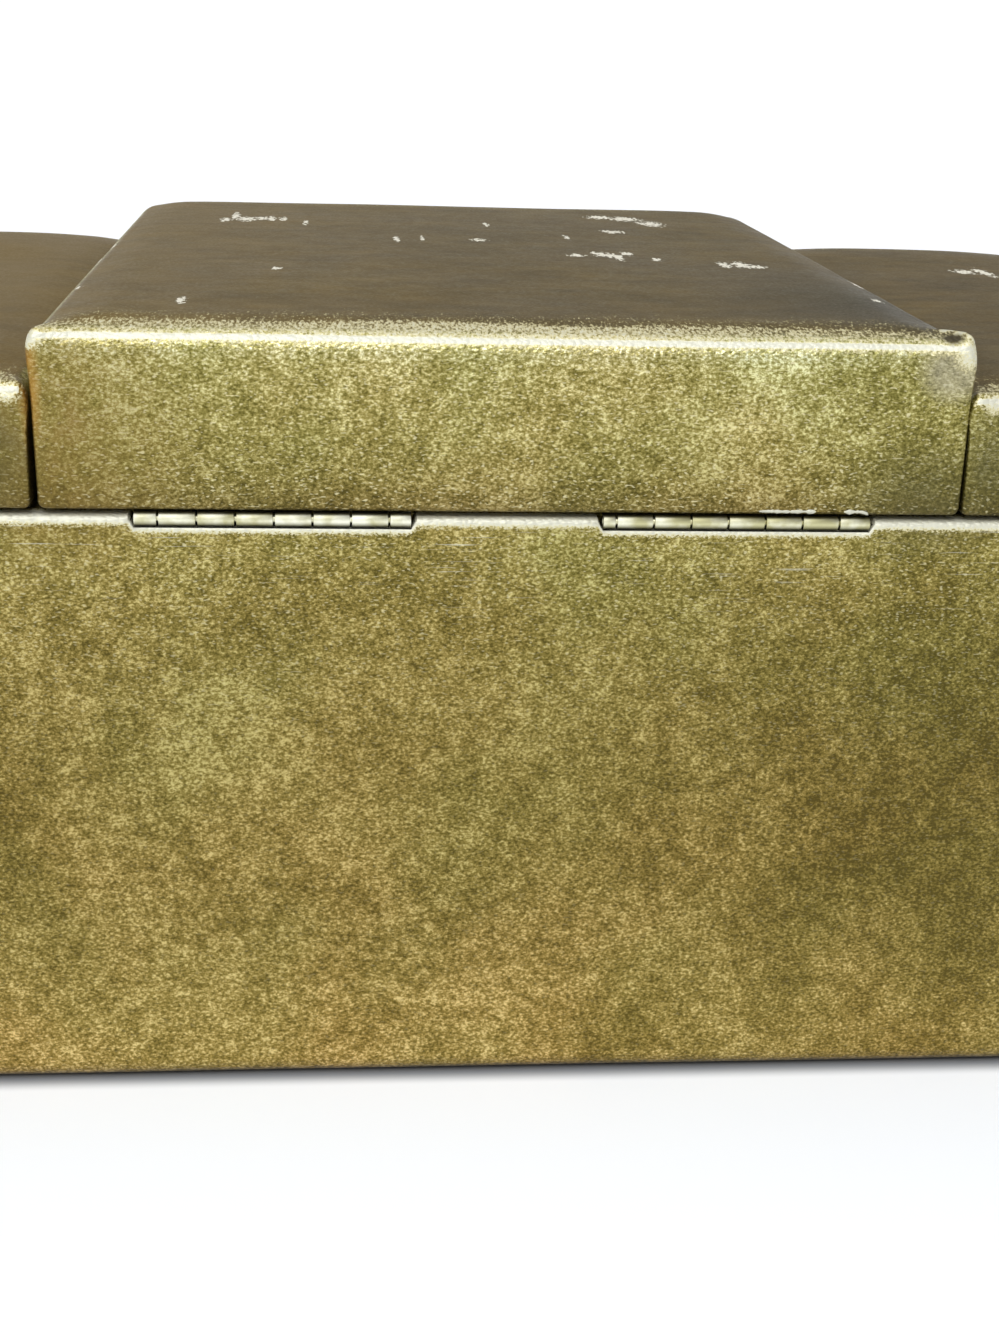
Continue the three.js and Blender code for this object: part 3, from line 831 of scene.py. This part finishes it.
def sinkCorners(bm, name, low, high):  # pressed-in front corners, less towards the foot
    sinking, reach = lidCover["sunken"][name]
    middle = (low + high) / 2
    half = (high - low) / 2
    for vert in bm.verts:
        if vert.co.y < middle.y:
            away = sum((half[a] - abs(vert.co[a] - middle[a])) ** 2 for a in (0, 1))
            up = (vert.co.z - low.z) / (high.z - low.z)
            vert.co.z -= sinking * up * math.exp(-away / (2 * reach ** 2))


def leanSides(bm, name, low, high):
    (lowFoot, lowTop), (highFoot, highTop) = lidCover["lean"][name]
    for vert in bm.verts:
        up = min(max((vert.co.z - low.z) / (high.z - low.z), 0), 1)
        side = (vert.co.x - low.x) / (high.x - low.x)
        atLow = lowFoot + (lowTop - lowFoot) * up
        atHigh = highFoot + (highTop - highFoot) * up
        vert.co.x += (1 - side) * atLow + side * atHigh


def bunchCorners(bm, low, high):  # folds at the back corners
    amount, reach = lidCover["ear"]
    for x, side in ((low.x, -1), (high.x, 1)):
        corner = Vector((x, high.y, high.z - lidCover["topRound"] / 2))
        for vert in bm.verts:
            near = math.exp(-(vert.co - corner).length_squared / (2 * reach ** 2))
            vert.co += Vector((side, 1, 0)) * amount * near


def puckerTop(bm, name, level):
    if name in lidCover["pucker"]:
        fold = lidCover["pucker"][name]
        start = Vector(fold["start"])
        line = Vector(fold["end"]) - start
        lowRise, highRise = fold["rise"]
        for vert in bm.verts:
            offset = vert.co.xy - start
            share = min(max(offset.dot(line) / line.length_squared, 0), 1)
            away = (offset - line * share).length / fold["width"]
            rise = lowRise + (highRise - lowRise) * share
            vert.co.z += rise * math.exp(-away ** 2) * smoothStep(vert.co.z - level, *lidCover["cornerBand"])


def makeLidCover(name):
    low, high = boxOf(name + "_lid_cover")
    shoulder = high - Vector((0, 0, lidCover["crown"]))
    bm = coverShell(low, shoulder, lidCover["corner"], lidCover["topRound"], lidCover["lowRound"])
    turnIn = Vector((lidCover["turnIn"], lidCover["turnIn"], 0))
    openMouth(bm, low + turnIn, high - turnIn, low.z)
    cutEvenly(bm, lidCover["gridStep"])
    cutNear(bm, low, shoulder, lidCover["edgeCuts"])
    markWearAndHighlight(bm, low, shoulder, lidCover["wearAndHighlight"])
    radii = [lidCover[key] for key in ("corner", "tightCorner", "upperCorner", "lowRound")]
    tightenCorners(bm, low, shoulder, radii, lidCover["cornerBand"])
    bunchCorners(bm, low, shoulder)
    middle = (low + high) / 2
    half = (high - low) / 2
    for vert in bm.verts:
        inward = [half[a] - abs(vert.co[a] - middle[a]) for a in (0, 1)]
        if vert.co.z > shoulder.z - nearly:
            near, wide = 1, 1
            for axis in (0, 1):
                depth = inward[axis] - lidCover["topRound"]
                near *= riseFrom(depth, lidCover["shoulder"])
                wide *= riseFrom(depth, half.x - lidCover["topRound"])
            share = lidCover["shoulderShare"]
            vert.co.z += lidCover["crown"] * (share * near + (1 - share) * wide)
    sinkCorners(bm, name, low, high)
    leanSides(bm, name, low, high)
    puckerTop(bm, name, shoulder.z)
    unevenBy(bm, lidCover, low.z)
    finishPiece(bm, name + "_lid_leatherette", "gold_leatherette", name + "_lid",
                [name + "_lid_cover"], [skinOf(lidCover["skin"])])


def makeLidBoards(name):  # the boards under the skin follow its sunken corners and leaning sides
    coverLow, coverHigh = boxOf(name + "_lid_cover")
    low, high = boxOf(name + "_lid_board")
    bm = coverShell(low, high, lidCover["boardCorner"], lidCover["boardRound"], lidCover["boardEase"])
    cutEvenly(bm, lidCover["gridStep"])
    sinkCorners(bm, name, low, high)
    leanSides(bm, name, coverLow, coverHigh)
    finishPiece(bm, name + "_lid_top_board", "board", name + "_lid", [name + "_lid_board"])

    low, high = boxOf(name + "_lid_frame")
    bm = ringBetween(low, high, lidCover["frameWidth"])
    outer = [e for e in uprights(bm) if not low.x + 1 < e.verts[0].co.x < high.x - 1]
    roundEdges(bm, outer, lidCover["frameCorner"], 4)
    leanSides(bm, name, coverLow, coverHigh)
    finishPiece(bm, name + "_lid_side_boards", "board", name + "_lid", [name + "_lid_frame"])


for lidName in ("centre", "left", "right"):
    makeLidCover(lidName)
    makeLidBoards(lidName)
print("lid covers made")


bodyCover = {
    "corner": 3.2,
    "tightCorner": 2.0,
    "cornerBand": (-9, -3),
    "rimRound": 1.5,
    "footRound": 2.8,
    "footDrop": 0.9,      # the skin bulges towards the floor round the foot
    "footHeight": 15,
    "footReach": (-5, -2),
    "rimWidth": 6.8,
    "turnIn": 12,
    "skin": 0.7,
    "gridStep": 5,
    "edgeCuts": (2.6, 3.4),
    "unevenness": 0.12,
    "waveLength": 40,
    # pale rim: partly rubbed, partly a painted highlight along its rounding
    "wearAndHighlight": {
        "long": 1.0,
        "short": 1.0,
        "upright": 0.5,
        "foot": 0.1,
        "top": (2.4, 3),
        "wall": (0.8, 1.4),
        "flank": 0,
        "flankWall": (1, 1),
        "shoulder": 0,
        "middle": 0,
        "shoulderEnd": (-2, -1),
        "sparse": 0,
        "sparseReach": (1, 1),
        "smooth": 0,
    },
    "notchDepth": 2.0,
    "notchHalf": 22.3,
    "notchSlope": 0.9,
    "notchInner": -4.5,
    "notchStep": 0.35,
    "notchLip": 0.7,      # the outer edge dips less than the seat of the leaf
    "lipRange": (0.4, 1.15),
    "notchTop": -0.5,     # heights from the pin between which the wall gives way to the notch
    "notchFoot": -5.5,
}


def lowerNotches(bm):  # the rim dips under each barrel, so that the leaf lies in it
    ends = (bodyCover["notchHalf"], bodyCover["notchHalf"] + bodyCover["notchSlope"])
    inner = (bodyCover["notchInner"], bodyCover["notchInner"] + bodyCover["notchStep"])
    for place in hingePlaces.values():
        for along in (-ends[1], -ends[0], ends[0], ends[1]):
            cutAt(bm, place @ Vector((along, 0, 0)), place.to_3x3() @ axisLine(0))
        for across in inner:
            cutAt(bm, place @ Vector((0, across, 0)), place.to_3x3() @ axisLine(1))
    for place in hingePlaces.values():
        back = place.inverted()
        for vert in bm.verts:
            local = back @ vert.co
            span = smoothStep(-abs(local.x), -ends[1], -ends[0])
            share = span * smoothStep(local.y, *inner)
            share *= smoothStep(local.z, bodyCover["notchFoot"], bodyCover["notchTop"])
            lip = bodyCover["notchLip"] * smoothStep(local.y, *bodyCover["lipRange"])
            vert.co.z -= (bodyCover["notchDepth"] - lip) * share


def makeBodyCover():
    low, high = boxOf("body_cover")
    bm = coverShell(low, high, bodyCover["corner"], bodyCover["rimRound"], bodyCover["footRound"])
    for width, height in ((bodyCover["rimWidth"], high.z), (bodyCover["turnIn"], low.z)):
        edge = Vector((width, width, 0))
        openMouth(bm, low + edge, high - edge, height)
    cutEvenly(bm, bodyCover["gridStep"])
    cutNear(bm, low, high, bodyCover["edgeCuts"])
    markWearAndHighlight(bm, low, high, bodyCover["wearAndHighlight"])
    radii = [bodyCover[key] for key in ("corner", "tightCorner", "corner", "footRound")]
    tightenCorners(bm, low, high, radii, bodyCover["cornerBand"])
    lowerNotches(bm)
    for vert in bm.verts:
        inward = min(vert.co.x - low.x, high.x - vert.co.x, vert.co.y - low.y, high.y - vert.co.y)
        nearFoot = smoothStep(low.z - vert.co.z, -bodyCover["footHeight"], 0)
        vert.co.z -= bodyCover["footDrop"] * nearFoot * smoothStep(-inward, *bodyCover["footReach"])
    unevenBy(bm, bodyCover, high.z)
    finishPiece(bm, "body_leatherette", "gold_leatherette", "root",
                ["body_cover"], [skinOf(bodyCover["skin"])])


rimStrip = {
    "round": 0.5,
    "wearAndHighlight": bodyCover["wearAndHighlight"] | {
        "long": 0.3, "short": 0.8, "upright": 0, "foot": 0, "top": (0.5, 1), "wall": (0.5, 1),
    },
}


def makeRimStrip(name):  # leatherette over the top of a partition
    low, high = boxOf(name + "_partition_cap")
    bm = cubeBetween(low, high)
    long = [e for e in edgesAt(bm, high.z) if abs(e.verts[0].co.y - e.verts[1].co.y) > 1]
    roundEdges(bm, long, rimStrip["round"], 3)
    cutEvenly(bm, bodyCover["gridStep"])
    markWearAndHighlight(bm, low, high, rimStrip["wearAndHighlight"])
    finishPiece(bm, name + "_rim_strip", "gold_leatherette", "root", [name + "_partition_cap"])


# A torn edge of the middle lid's skin, frayed to its pale backing, over one back hinge
tornEdge = {
    "start": -41.4,
    "end": -59.7,
    "height": 104.5,
    "out": 99.85,
    "steps": 60,
    "width": 0.65,
    "hook": 1.6,
    "hookDrop": 0.35,
    "hookOut": 0.2,
    "break": (0.5, 0.8),  # a worn stretch, as shares of the length
    "breakEase": 0.04,
    "startEase": (-0.02, 0.06),
    "frays": (1.1, 0.45),   # coarse and fine
    "skin": 0.22,
}


def makeTornEdge():
    bm = bmesh.new()
    bmesh.ops.create_grid(bm, x_segments=tornEdge["steps"], y_segments=2, size=0.5)
    wornAndLit = bm.verts.layers.float.new("edgeWearAndHighlight")
    length = abs(tornEdge["end"] - tornEdge["start"])
    for vert in bm.verts:
        share = vert.co.x + 0.5
        across = vert.co.y
        x = tornEdge["start"] + (tornEdge["end"] - tornEdge["start"]) * share
        coarse, fine = tornEdge["frays"]
        ragged = noise.noise(Vector((x / coarse, 0, 0))) + 0.6 * noise.noise(Vector((x / fine, 7, 0)))
        breakStart, breakEnd = tornEdge["break"]
        ease = tornEdge["breakEase"]
        broken = smoothStep(share, breakStart, breakStart + ease)
        broken *= smoothStep(-share, -breakEnd, ease - breakEnd)
        width = tornEdge["width"] * max(0.75 + ragged, 0.15) * (1 - 0.5 * broken)
        width *= smoothStep(share, *tornEdge["startEase"])
        hook = max(share * length - (length - tornEdge["hook"]), 0) / tornEdge["hook"]
        vert.co = (
            x,
            tornEdge["out"] + 0.2 * across + 0.1 * ragged + tornEdge["hookOut"] * hook,
            tornEdge["height"] + across * width + 0.1 * noise.noise(Vector((x / 4, 3, 0)))
            - tornEdge["hookDrop"] * hook ** 2,
        )
        vert[wornAndLit] = 1 - 0.7 * broken
    bmesh.ops.recalc_face_normals(bm, faces=bm.faces)
    finishPiece(bm, "centre_lid_torn_edge", "gold_leatherette", "centre_lid",
                modifiers=[("SOLIDIFY", {"thickness": tornEdge["skin"] * mm, "offset": 0.0})])


makeBodyCover()
makeRimStrip("left")
makeRimStrip("right")
makeTornEdge()
print("body cover made")


# Strip hinges: leaves curled round a wire, with brads

def knuckleSpans(firstKnuckle):
    half = hingeStrip["length"] / 2
    gap = hingeStrip["joint"] / 2
    joints = []
    joint = firstKnuckle * hingeStrip["pitch"] - half
    while joint < half - 2 * gap:
        joints.append(joint)
        joint += hingeStrip["pitch"]
    return list(zip([-half] + [j + gap for j in joints], [j - gap for j in joints] + [half]))


def extrudeEdges(bm, edges, shift):
    made = bmesh.ops.extrude_edge_only(bm, edges=edges)["geom"]
    verts = [g for g in made if isinstance(g, bmesh.types.BMVert)]
    bmesh.ops.translate(bm, vec=shift, verts=verts)
    return [g for g in made if isinstance(g, bmesh.types.BMEdge) and all(v in verts for v in g.verts)]


def makeLeaf(name, kind, body, spans, plate, turn):
    half = hingeStrip["length"] / 2
    middleRadius = hingeStrip["barrelRadius"] - hingeStrip["thickness"] / 2
    bm = bmesh.new()
    stops = sorted({-half, half, *[x for span in spans for x in span]})
    verts = [bm.verts.new((x, hingeStrip["plateInner"], plate)) for x in stops]
    edges = [bm.edges.new(pair) for pair in zip(verts, verts[1:])]
    front = extrudeEdges(bm, edges, Vector((0, hingeStrip["plateOuter"] - hingeStrip["plateInner"], 0)))
    own = []
    for edge in front:
        middle = (edge.verts[0].co.x + edge.verts[1].co.x) / 2
        if any(start < middle < end for start, end in spans):
            own.append(edge)
    roots = extrudeEdges(bm, own, Vector((0, -hingeStrip["plateOuter"], -turn * middleRadius - plate)))
    rootVerts = list({v for e in roots for v in e.verts})
    bmesh.ops.spin(bm, geom=rootVerts + roots, cent=(0, 0, 0), axis=(1, 0, 0), dvec=(0, 0, 0),
                   angle=turn * math.radians(hingeStrip["curl"]), steps=hingeStrip["curlSteps"])
    bmesh.ops.remove_doubles(bm, verts=bm.verts, dist=0.001)
    bmesh.ops.recalc_face_normals(bm, faces=bm.faces)
    bmesh.ops.transform(bm, matrix=hingePlaces[name], verts=bm.verts)
    sheet = ("SOLIDIFY", {"thickness": hingeStrip["thickness"] * mm, "offset": 0.0})
    ease = ("BEVEL", {"width": hingeStrip["ease"] * mm, "segments": 2, "limit_method": "ANGLE"})
    finishPiece(bm, f"{name}_{kind}_strip", "hinge_metal", body, [f"{name}_hinge_{kind}_leaf"], [sheet, ease])


def makeBrads(name, kind, body, seat, up):  # domed heads that hold a leaf down
    bm = bmesh.new()
    middle = (hingeStrip["plateInner"] + hingeStrip["plateOuter"]) / 2
    flip = Matrix.Rotation(0 if up > 0 else math.pi, 4, "X")
    for index in (-1, 0, 1):
        spot = (index * hingeStrip["bradSpacing"], middle, seat + up * hingeStrip["bradHeight"] / 2)
        bmesh.ops.create_cone(bm, cap_ends=True, segments=16, radius1=hingeStrip["bradRadius"],
                              radius2=hingeStrip["bradRadius"] * hingeStrip["bradTaper"],
                              depth=hingeStrip["bradHeight"],
                              matrix=Matrix.Translation(spot) @ flip)
    crowns = edgesAt(bm, seat + up * hingeStrip["bradHeight"])
    roundEdges(bm, crowns, hingeStrip["bradHeight"] * hingeStrip["bradDome"], 3)
    bmesh.ops.transform(bm, matrix=hingePlaces[name], verts=bm.verts)
    finishPiece(bm, f"{name}_{kind}_brads", "hinge_metal", body, sharpAngle=60)


def makePin(name):
    low, high = boxOf(name + "_hinge_pin")
    bm = bmesh.new()
    radius = (high.z - low.z) / 2
    bmesh.ops.create_cone(bm, cap_ends=True, segments=20, radius1=radius, radius2=radius,
                          depth=max(high - low), matrix=Matrix.Rotation(math.pi / 2, 4, "Y"))
    ends = [e for e in bm.edges if abs(e.verts[0].co.x - e.verts[1].co.x) < nearly]
    roundEdges(bm, ends, hingeStrip["pinRound"], 2)
    bmesh.ops.transform(bm, matrix=hingePlaces[name], verts=bm.verts)
    finishPiece(bm, name + "_wire", "hinge_metal", "root", [name + "_hinge_pin"])


for hingeName, firstKnuckle in hingeStrip["firstKnuckle"].items():
    lidBody = hingeStrip["lids"][hingeName.split("_")[0]]
    allSpans = knuckleSpans(firstKnuckle)
    makeLeaf(hingeName, "body", "root", allSpans[0::2], hingeStrip["bodyPlate"], 1)
    makeLeaf(hingeName, "lid", lidBody, allSpans[1::2], hingeStrip["lidPlate"], -1)
    halfSheet = hingeStrip["thickness"] / 2
    makeBrads(hingeName, "body", "root", hingeStrip["bodyPlate"] + halfSheet, 1)
    makeBrads(hingeName, "lid", lidBody, hingeStrip["lidPlate"] - halfSheet, -1)
    makePin(hingeName)
print("hinges made")


# Velvet fittings

fittings = {
    "gridStep": 6,
    "lining": 1.1,
    "liningCorner": 2.5,
    "liningEase": 0.4,
    "lidRound": 2.0,
    "padCrown": 2.0,
    "padCorner": 4,
    "padRound": 2.0,
    "padFoot": 1.0,
    "padPull": 1.0,       # the middles of a pad's sides are drawn in
    "blocks": {"left_divider": 1.2, "right_divider": 1.2, "ring_bank_riser": 1.5},   # with their rounding
}


def makeWellLining(name):
    low, high = boxOf(name + "_well_lining")
    bm = cubeBetween(low, high)
    flat = [f for f in bm.faces if abs(f.normal.z) > 0.5]
    bmesh.ops.delete(bm, geom=flat, context="FACES")
    roundEdges(bm, uprights(bm), fittings["liningCorner"], 5)
    cutEvenly(bm, fittings["gridStep"])
    ease = ("BEVEL", {"width": fittings["liningEase"] * mm, "segments": 3, "limit_method": "ANGLE"})
    finishPiece(bm, name + "_well_velvet", "velvet", "root", [name + "_well_lining"],
                [skinOf(fittings["lining"]), ease])


def makePad(node):
    low, high = boxOf(node)
    shoulder = high - Vector((0, 0, fittings["padCrown"]))
    bm = coverShell(low, shoulder, fittings["padCorner"], fittings["padRound"], fittings["padFoot"])
    cutEvenly(bm, fittings["gridStep"])
    middle = (low + high) / 2
    half = (high - low) / 2
    for vert in bm.verts:
        u = (vert.co.x - middle.x) / half.x
        v = (vert.co.y - middle.y) / half.y
        if vert.co.z > shoulder.z - nearly:
            vert.co.z += fittings["padCrown"] * (1 - u ** 4) * (1 - v ** 4)
        vert.co.x -= u ** 5 * fittings["padPull"] * (1 - v * v)
        vert.co.y -= v ** 5 * fittings["padPull"] * (1 - u * u)
    piece = finishPiece(bm, node + "_velvet", "velvet", "root", [node])


def makeBlock(node, radius):
    low, high = boxOf(node)
    bm = cubeBetween(low, high)
    roundEdges(bm, bm.edges[:], radius, 4)
    cutEvenly(bm, fittings["gridStep"])
    finishPiece(bm, node + "_velvet", "velvet", "root", [node])


ringRolls = {"count": 4, "gap": 0.1, "roundShare": 0.46, "endRound": 1.6}


def makeRingBank():
    low, high = boxOf("ring_bank")
    width = (high.y - low.y) / ringRolls["count"]
    gap = ringRolls["gap"]
    bm = bmesh.new()
    for roll in range(ringRolls["count"]):
        start = Vector((low.x, low.y + roll * width + gap, low.z))
        end = Vector((high.x, low.y + (roll + 1) * width - gap, high.z))
        part = cubeBetween(start, end)
        long = [e for e in edgesAt(part, high.z) if abs(e.verts[0].co.x - e.verts[1].co.x) > 1]
        roundEdges(part, long, width * ringRolls["roundShare"], 8)
        upper = [e for e in part.edges if max(v.co.z for v in e.verts) > low.z + 1]
        ends = [e for e in upper if abs(e.verts[0].co.x - e.verts[1].co.x) < nearly]
        roundEdges(part, ends, ringRolls["endRound"], 4)
        cutEvenly(part, fittings["gridStep"])
        joinInto(bm, part)
    piece = finishPiece(bm, "ring_rolls_velvet", "velvet", "root", ["ring_bank"])


def makeLidLining(name):
    low, high = boxOf(name + "_lid_lining")
    bm = cubeBetween(low, high)
    under = [f for f in bm.faces if f.normal.z < -0.5]
    bmesh.ops.delete(bm, geom=under, context="FACES")
    roundEdges(bm, [e for e in bm.edges if not e.is_boundary], fittings["lidRound"], 4)
    cutEvenly(bm, fittings["gridStep"])
    finishPiece(bm, name + "_lid_velvet", "velvet", name + "_lid", [name + "_lid_lining"],
                [skinOf(fittings["lining"])])


mirrorFrame = {"sight": 12, "bed": 9.7, "lip": 1.4, "padding": 0.6, "bevelWidth": 10, "bevelDrop": 0.4}


def makeMirror():
    low, high = boxOf("mirror_border")
    glassLow, glassHigh = boxOf("mirror")
    lipTop = Vector((high.x, high.y, low.z + mirrorFrame["lip"]))
    bm = ringBetween(low, lipTop, mirrorFrame["sight"])
    roundEdges(bm, edgesAt(bm, low.z), mirrorFrame["padding"], 4)
    joinInto(bm, ringBetween(Vector((low.x, low.y, lipTop.z)), high, mirrorFrame["bed"]))
    cutEvenly(bm, fittings["gridStep"])
    piece = finishPiece(bm, "mirror_border_velvet", "velvet", "centre_lid", ["mirror_border"])

    bm = cubeBetween(glassLow, glassHigh)
    face = [f for f in bm.faces if f.normal.z < -0.5]
    for vert in face[0].verts:
        vert.co.z += mirrorFrame["bevelDrop"]
    bmesh.ops.inset_individual(bm, faces=face, thickness=mirrorFrame["bevelWidth"])
    for vert in face[0].verts:
        vert.co.z = glassLow.z
    finishPiece(bm, "mirror_plate", "mirror", "centre_lid", ["mirror"], sharpAngle=1)


for wellName in ("centre", "left", "right"):
    makeWellLining(wellName)
    makeLidLining(wellName)
for padName in ("centre_floor_pad", "left_front_pad", "left_rear_pad", "right_front_pad", "right_rear_pad"):
    makePad(padName)
for blockName, blockRound in fittings["blocks"].items():
    makeBlock(blockName, blockRound)
makeRingBank()
makeMirror()
print("velvet fittings made")


# Pieces that keep their shape and get a finish

for nodeName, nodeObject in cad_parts.items():
    if not nodeObject.hide_render:
        nodeObject.data.materials.clear()
        nodeObject.data.materials.append(finishes["felt" if nodeName == "base_felt" else "board"])
print("boards and felt finished")


# Stage, light and camera

studio = {
    "floor": "#f8fbff",
    "floorSize": 40,      # metres
    "rimStart": 2.5,
    "rimSlope": 0.12,
    # shade round the foot of the box, for the camera: its start and end in millimetres, and its depth
    "contact": (-0.6, 4, 0.25),
    "skyTones": {         # far is behind the box, as the camera sees it
        "farLeft": (0.20, 0.165, 0.11, 1),
        "farRight": (0.10, 0.095, 0.08, 1),
        "farHigh": (0.36, 0.34, 0.30, 1),
        "nearLeft": (0.95, 0.95, 0.95, 1),
        "nearRight": (0.45, 0.45, 0.45, 1),
        "overhead": (1.1, 1.11, 1.16, 1),
    },
    # axis of each change of tone in the sky, and its start and end
    "skyShares": {
        "toLeft": (0, (-0.45, 0.45)),
        "farRise": (2, (0.2, 0.6)),
        "toNear": (1, (-0.25, 0.35)),
        "toTop": (2, (0.6, 0.95)),
    },
    # each mix with its share and the two tones that it joins
    "skyMixes": [
        ("farSide", "toLeft", "farRight", "farLeft"),
        ("far", "farRise", "farSide", "farHigh"),
        ("near", "toLeft", "nearRight", "nearLeft"),
        ("sides", "toNear", "far", "near"),
        ("sky", "toTop", "sides", "overhead"),
    ],
    "sun": 1.5,
    "sunColour": (0.98, 1.0, 1.04),
    "sunAngle": 50,
    "sunTurn": (30, 0, 150),
}


def makeFloor():
    bm = bmesh.new()
    bmesh.ops.create_grid(bm, x_segments=80, y_segments=80, size=studio["floorSize"] / 2)
    for vert in bm.verts:
        away = vert.co.xy.length
        vert.co.z = max(0, away - studio["rimStart"]) * studio["rimSlope"]
    mesh = meshFrom(bm, "floor")
    mesh.shade_smooth()
    material, add, place = startMaterial("matt_paper")
    start, end, depth = studio["contact"]
    corner = boxOf("body_cover")[1] + Vector((start, start, 0))
    outside = add("VectorMath", [place], operation="ABSOLUTE")
    outside = add("VectorMath", [outside, (corner.x, corner.y, 0)], operation="SUBTRACT")
    outside = add("VectorMath", [outside, (0, 0, 0)], operation="MAXIMUM")
    away = add("VectorMath", [outside], out="Value", operation="LENGTH")
    seen = add("LightPath", out="Is Camera Ray")
    least = add("Math", [seen, depth - 1, 1.0], operation="MULTIPLY_ADD")
    share = add("MapRange", [away, 0, end - start, least], interpolation_type="SMOOTHSTEP")
    colour = add("Mix", {0: share, 6: (0, 0, 0, 1), 7: studio["floor"]}, **mixColours)
    endMaterial(add, {"Base Color": colour, "Roughness": 0.9, "Specular IOR Level": 0.1})
    mesh.materials.append(material)
    floor = addObject("floor", mesh)


def makeLight():
    world = bpy.data.worlds.new("studio")
    world.use_nodes = True
    world.node_tree.nodes.clear()
    add = partial(addNode, world.node_tree)
    direction = add("TexCoord", out="Generated")
    shares = {}
    for name, (axis, limits) in studio["skyShares"].items():
        part = add("SeparateXYZ", [direction], out=axis)
        shares[name] = add("MapRange", [part, *limits], interpolation_type="SMOOTHSTEP")
    tones = dict(studio["skyTones"])
    for name, share, first, second in studio["skyMixes"]:
        tones[name] = add("Mix", {0: shares[share], 6: tones[first], 7: tones[second]}, **mixColours)
    background = add("Background", {"Color": tones["sky"], "Strength": 1.0})
    add("OutputWorld", {"Surface": background})
    bpy.context.scene.world = world

    sun = bpy.data.lights.new("softbox", "SUN")
    sun.energy = studio["sun"]
    sun.color = studio["sunColour"]
    sun.angle = math.radians(studio["sunAngle"])
    lamp = addObject("softbox", sun)
    lamp.rotation_euler = [math.radians(a) for a in studio["sunTurn"]]


viewpoint = {
    "place": (28.03, 399.33, 181.91),
    "tilt": 19.158,
    "yaw": -5.225,
    "roll": 1.746,
    "focalPixels": 1904.2,
    "imageHeight": 1333,
    "sensor": 36,
    "clipStart": 0.01,    # metres
    "clipEnd": 200,
}


def makeCamera():
    camera = bpy.data.cameras.new("camera")
    camera.sensor_width = viewpoint["sensor"]
    camera.lens = viewpoint["focalPixels"] * viewpoint["sensor"] / viewpoint["imageHeight"]
    camera.clip_start = viewpoint["clipStart"]
    camera.clip_end = viewpoint["clipEnd"]
    holder = addObject("camera", camera)
    holder.matrix_world = (
        Matrix.Translation(Vector(viewpoint["place"]) * mm)
        @ Matrix.Rotation(math.radians(180 + viewpoint["yaw"]), 4, "Z")
        @ Matrix.Rotation(math.radians(90 - viewpoint["tilt"]), 4, "X")
        @ Matrix.Rotation(math.radians(viewpoint["roll"]), 4, "Z")
    )
    bpy.context.scene.camera = holder


makeFloor()
makeLight()
makeCamera()
bpy.context.scene.view_settings.view_transform = "Standard"
print("stage, light and camera set")
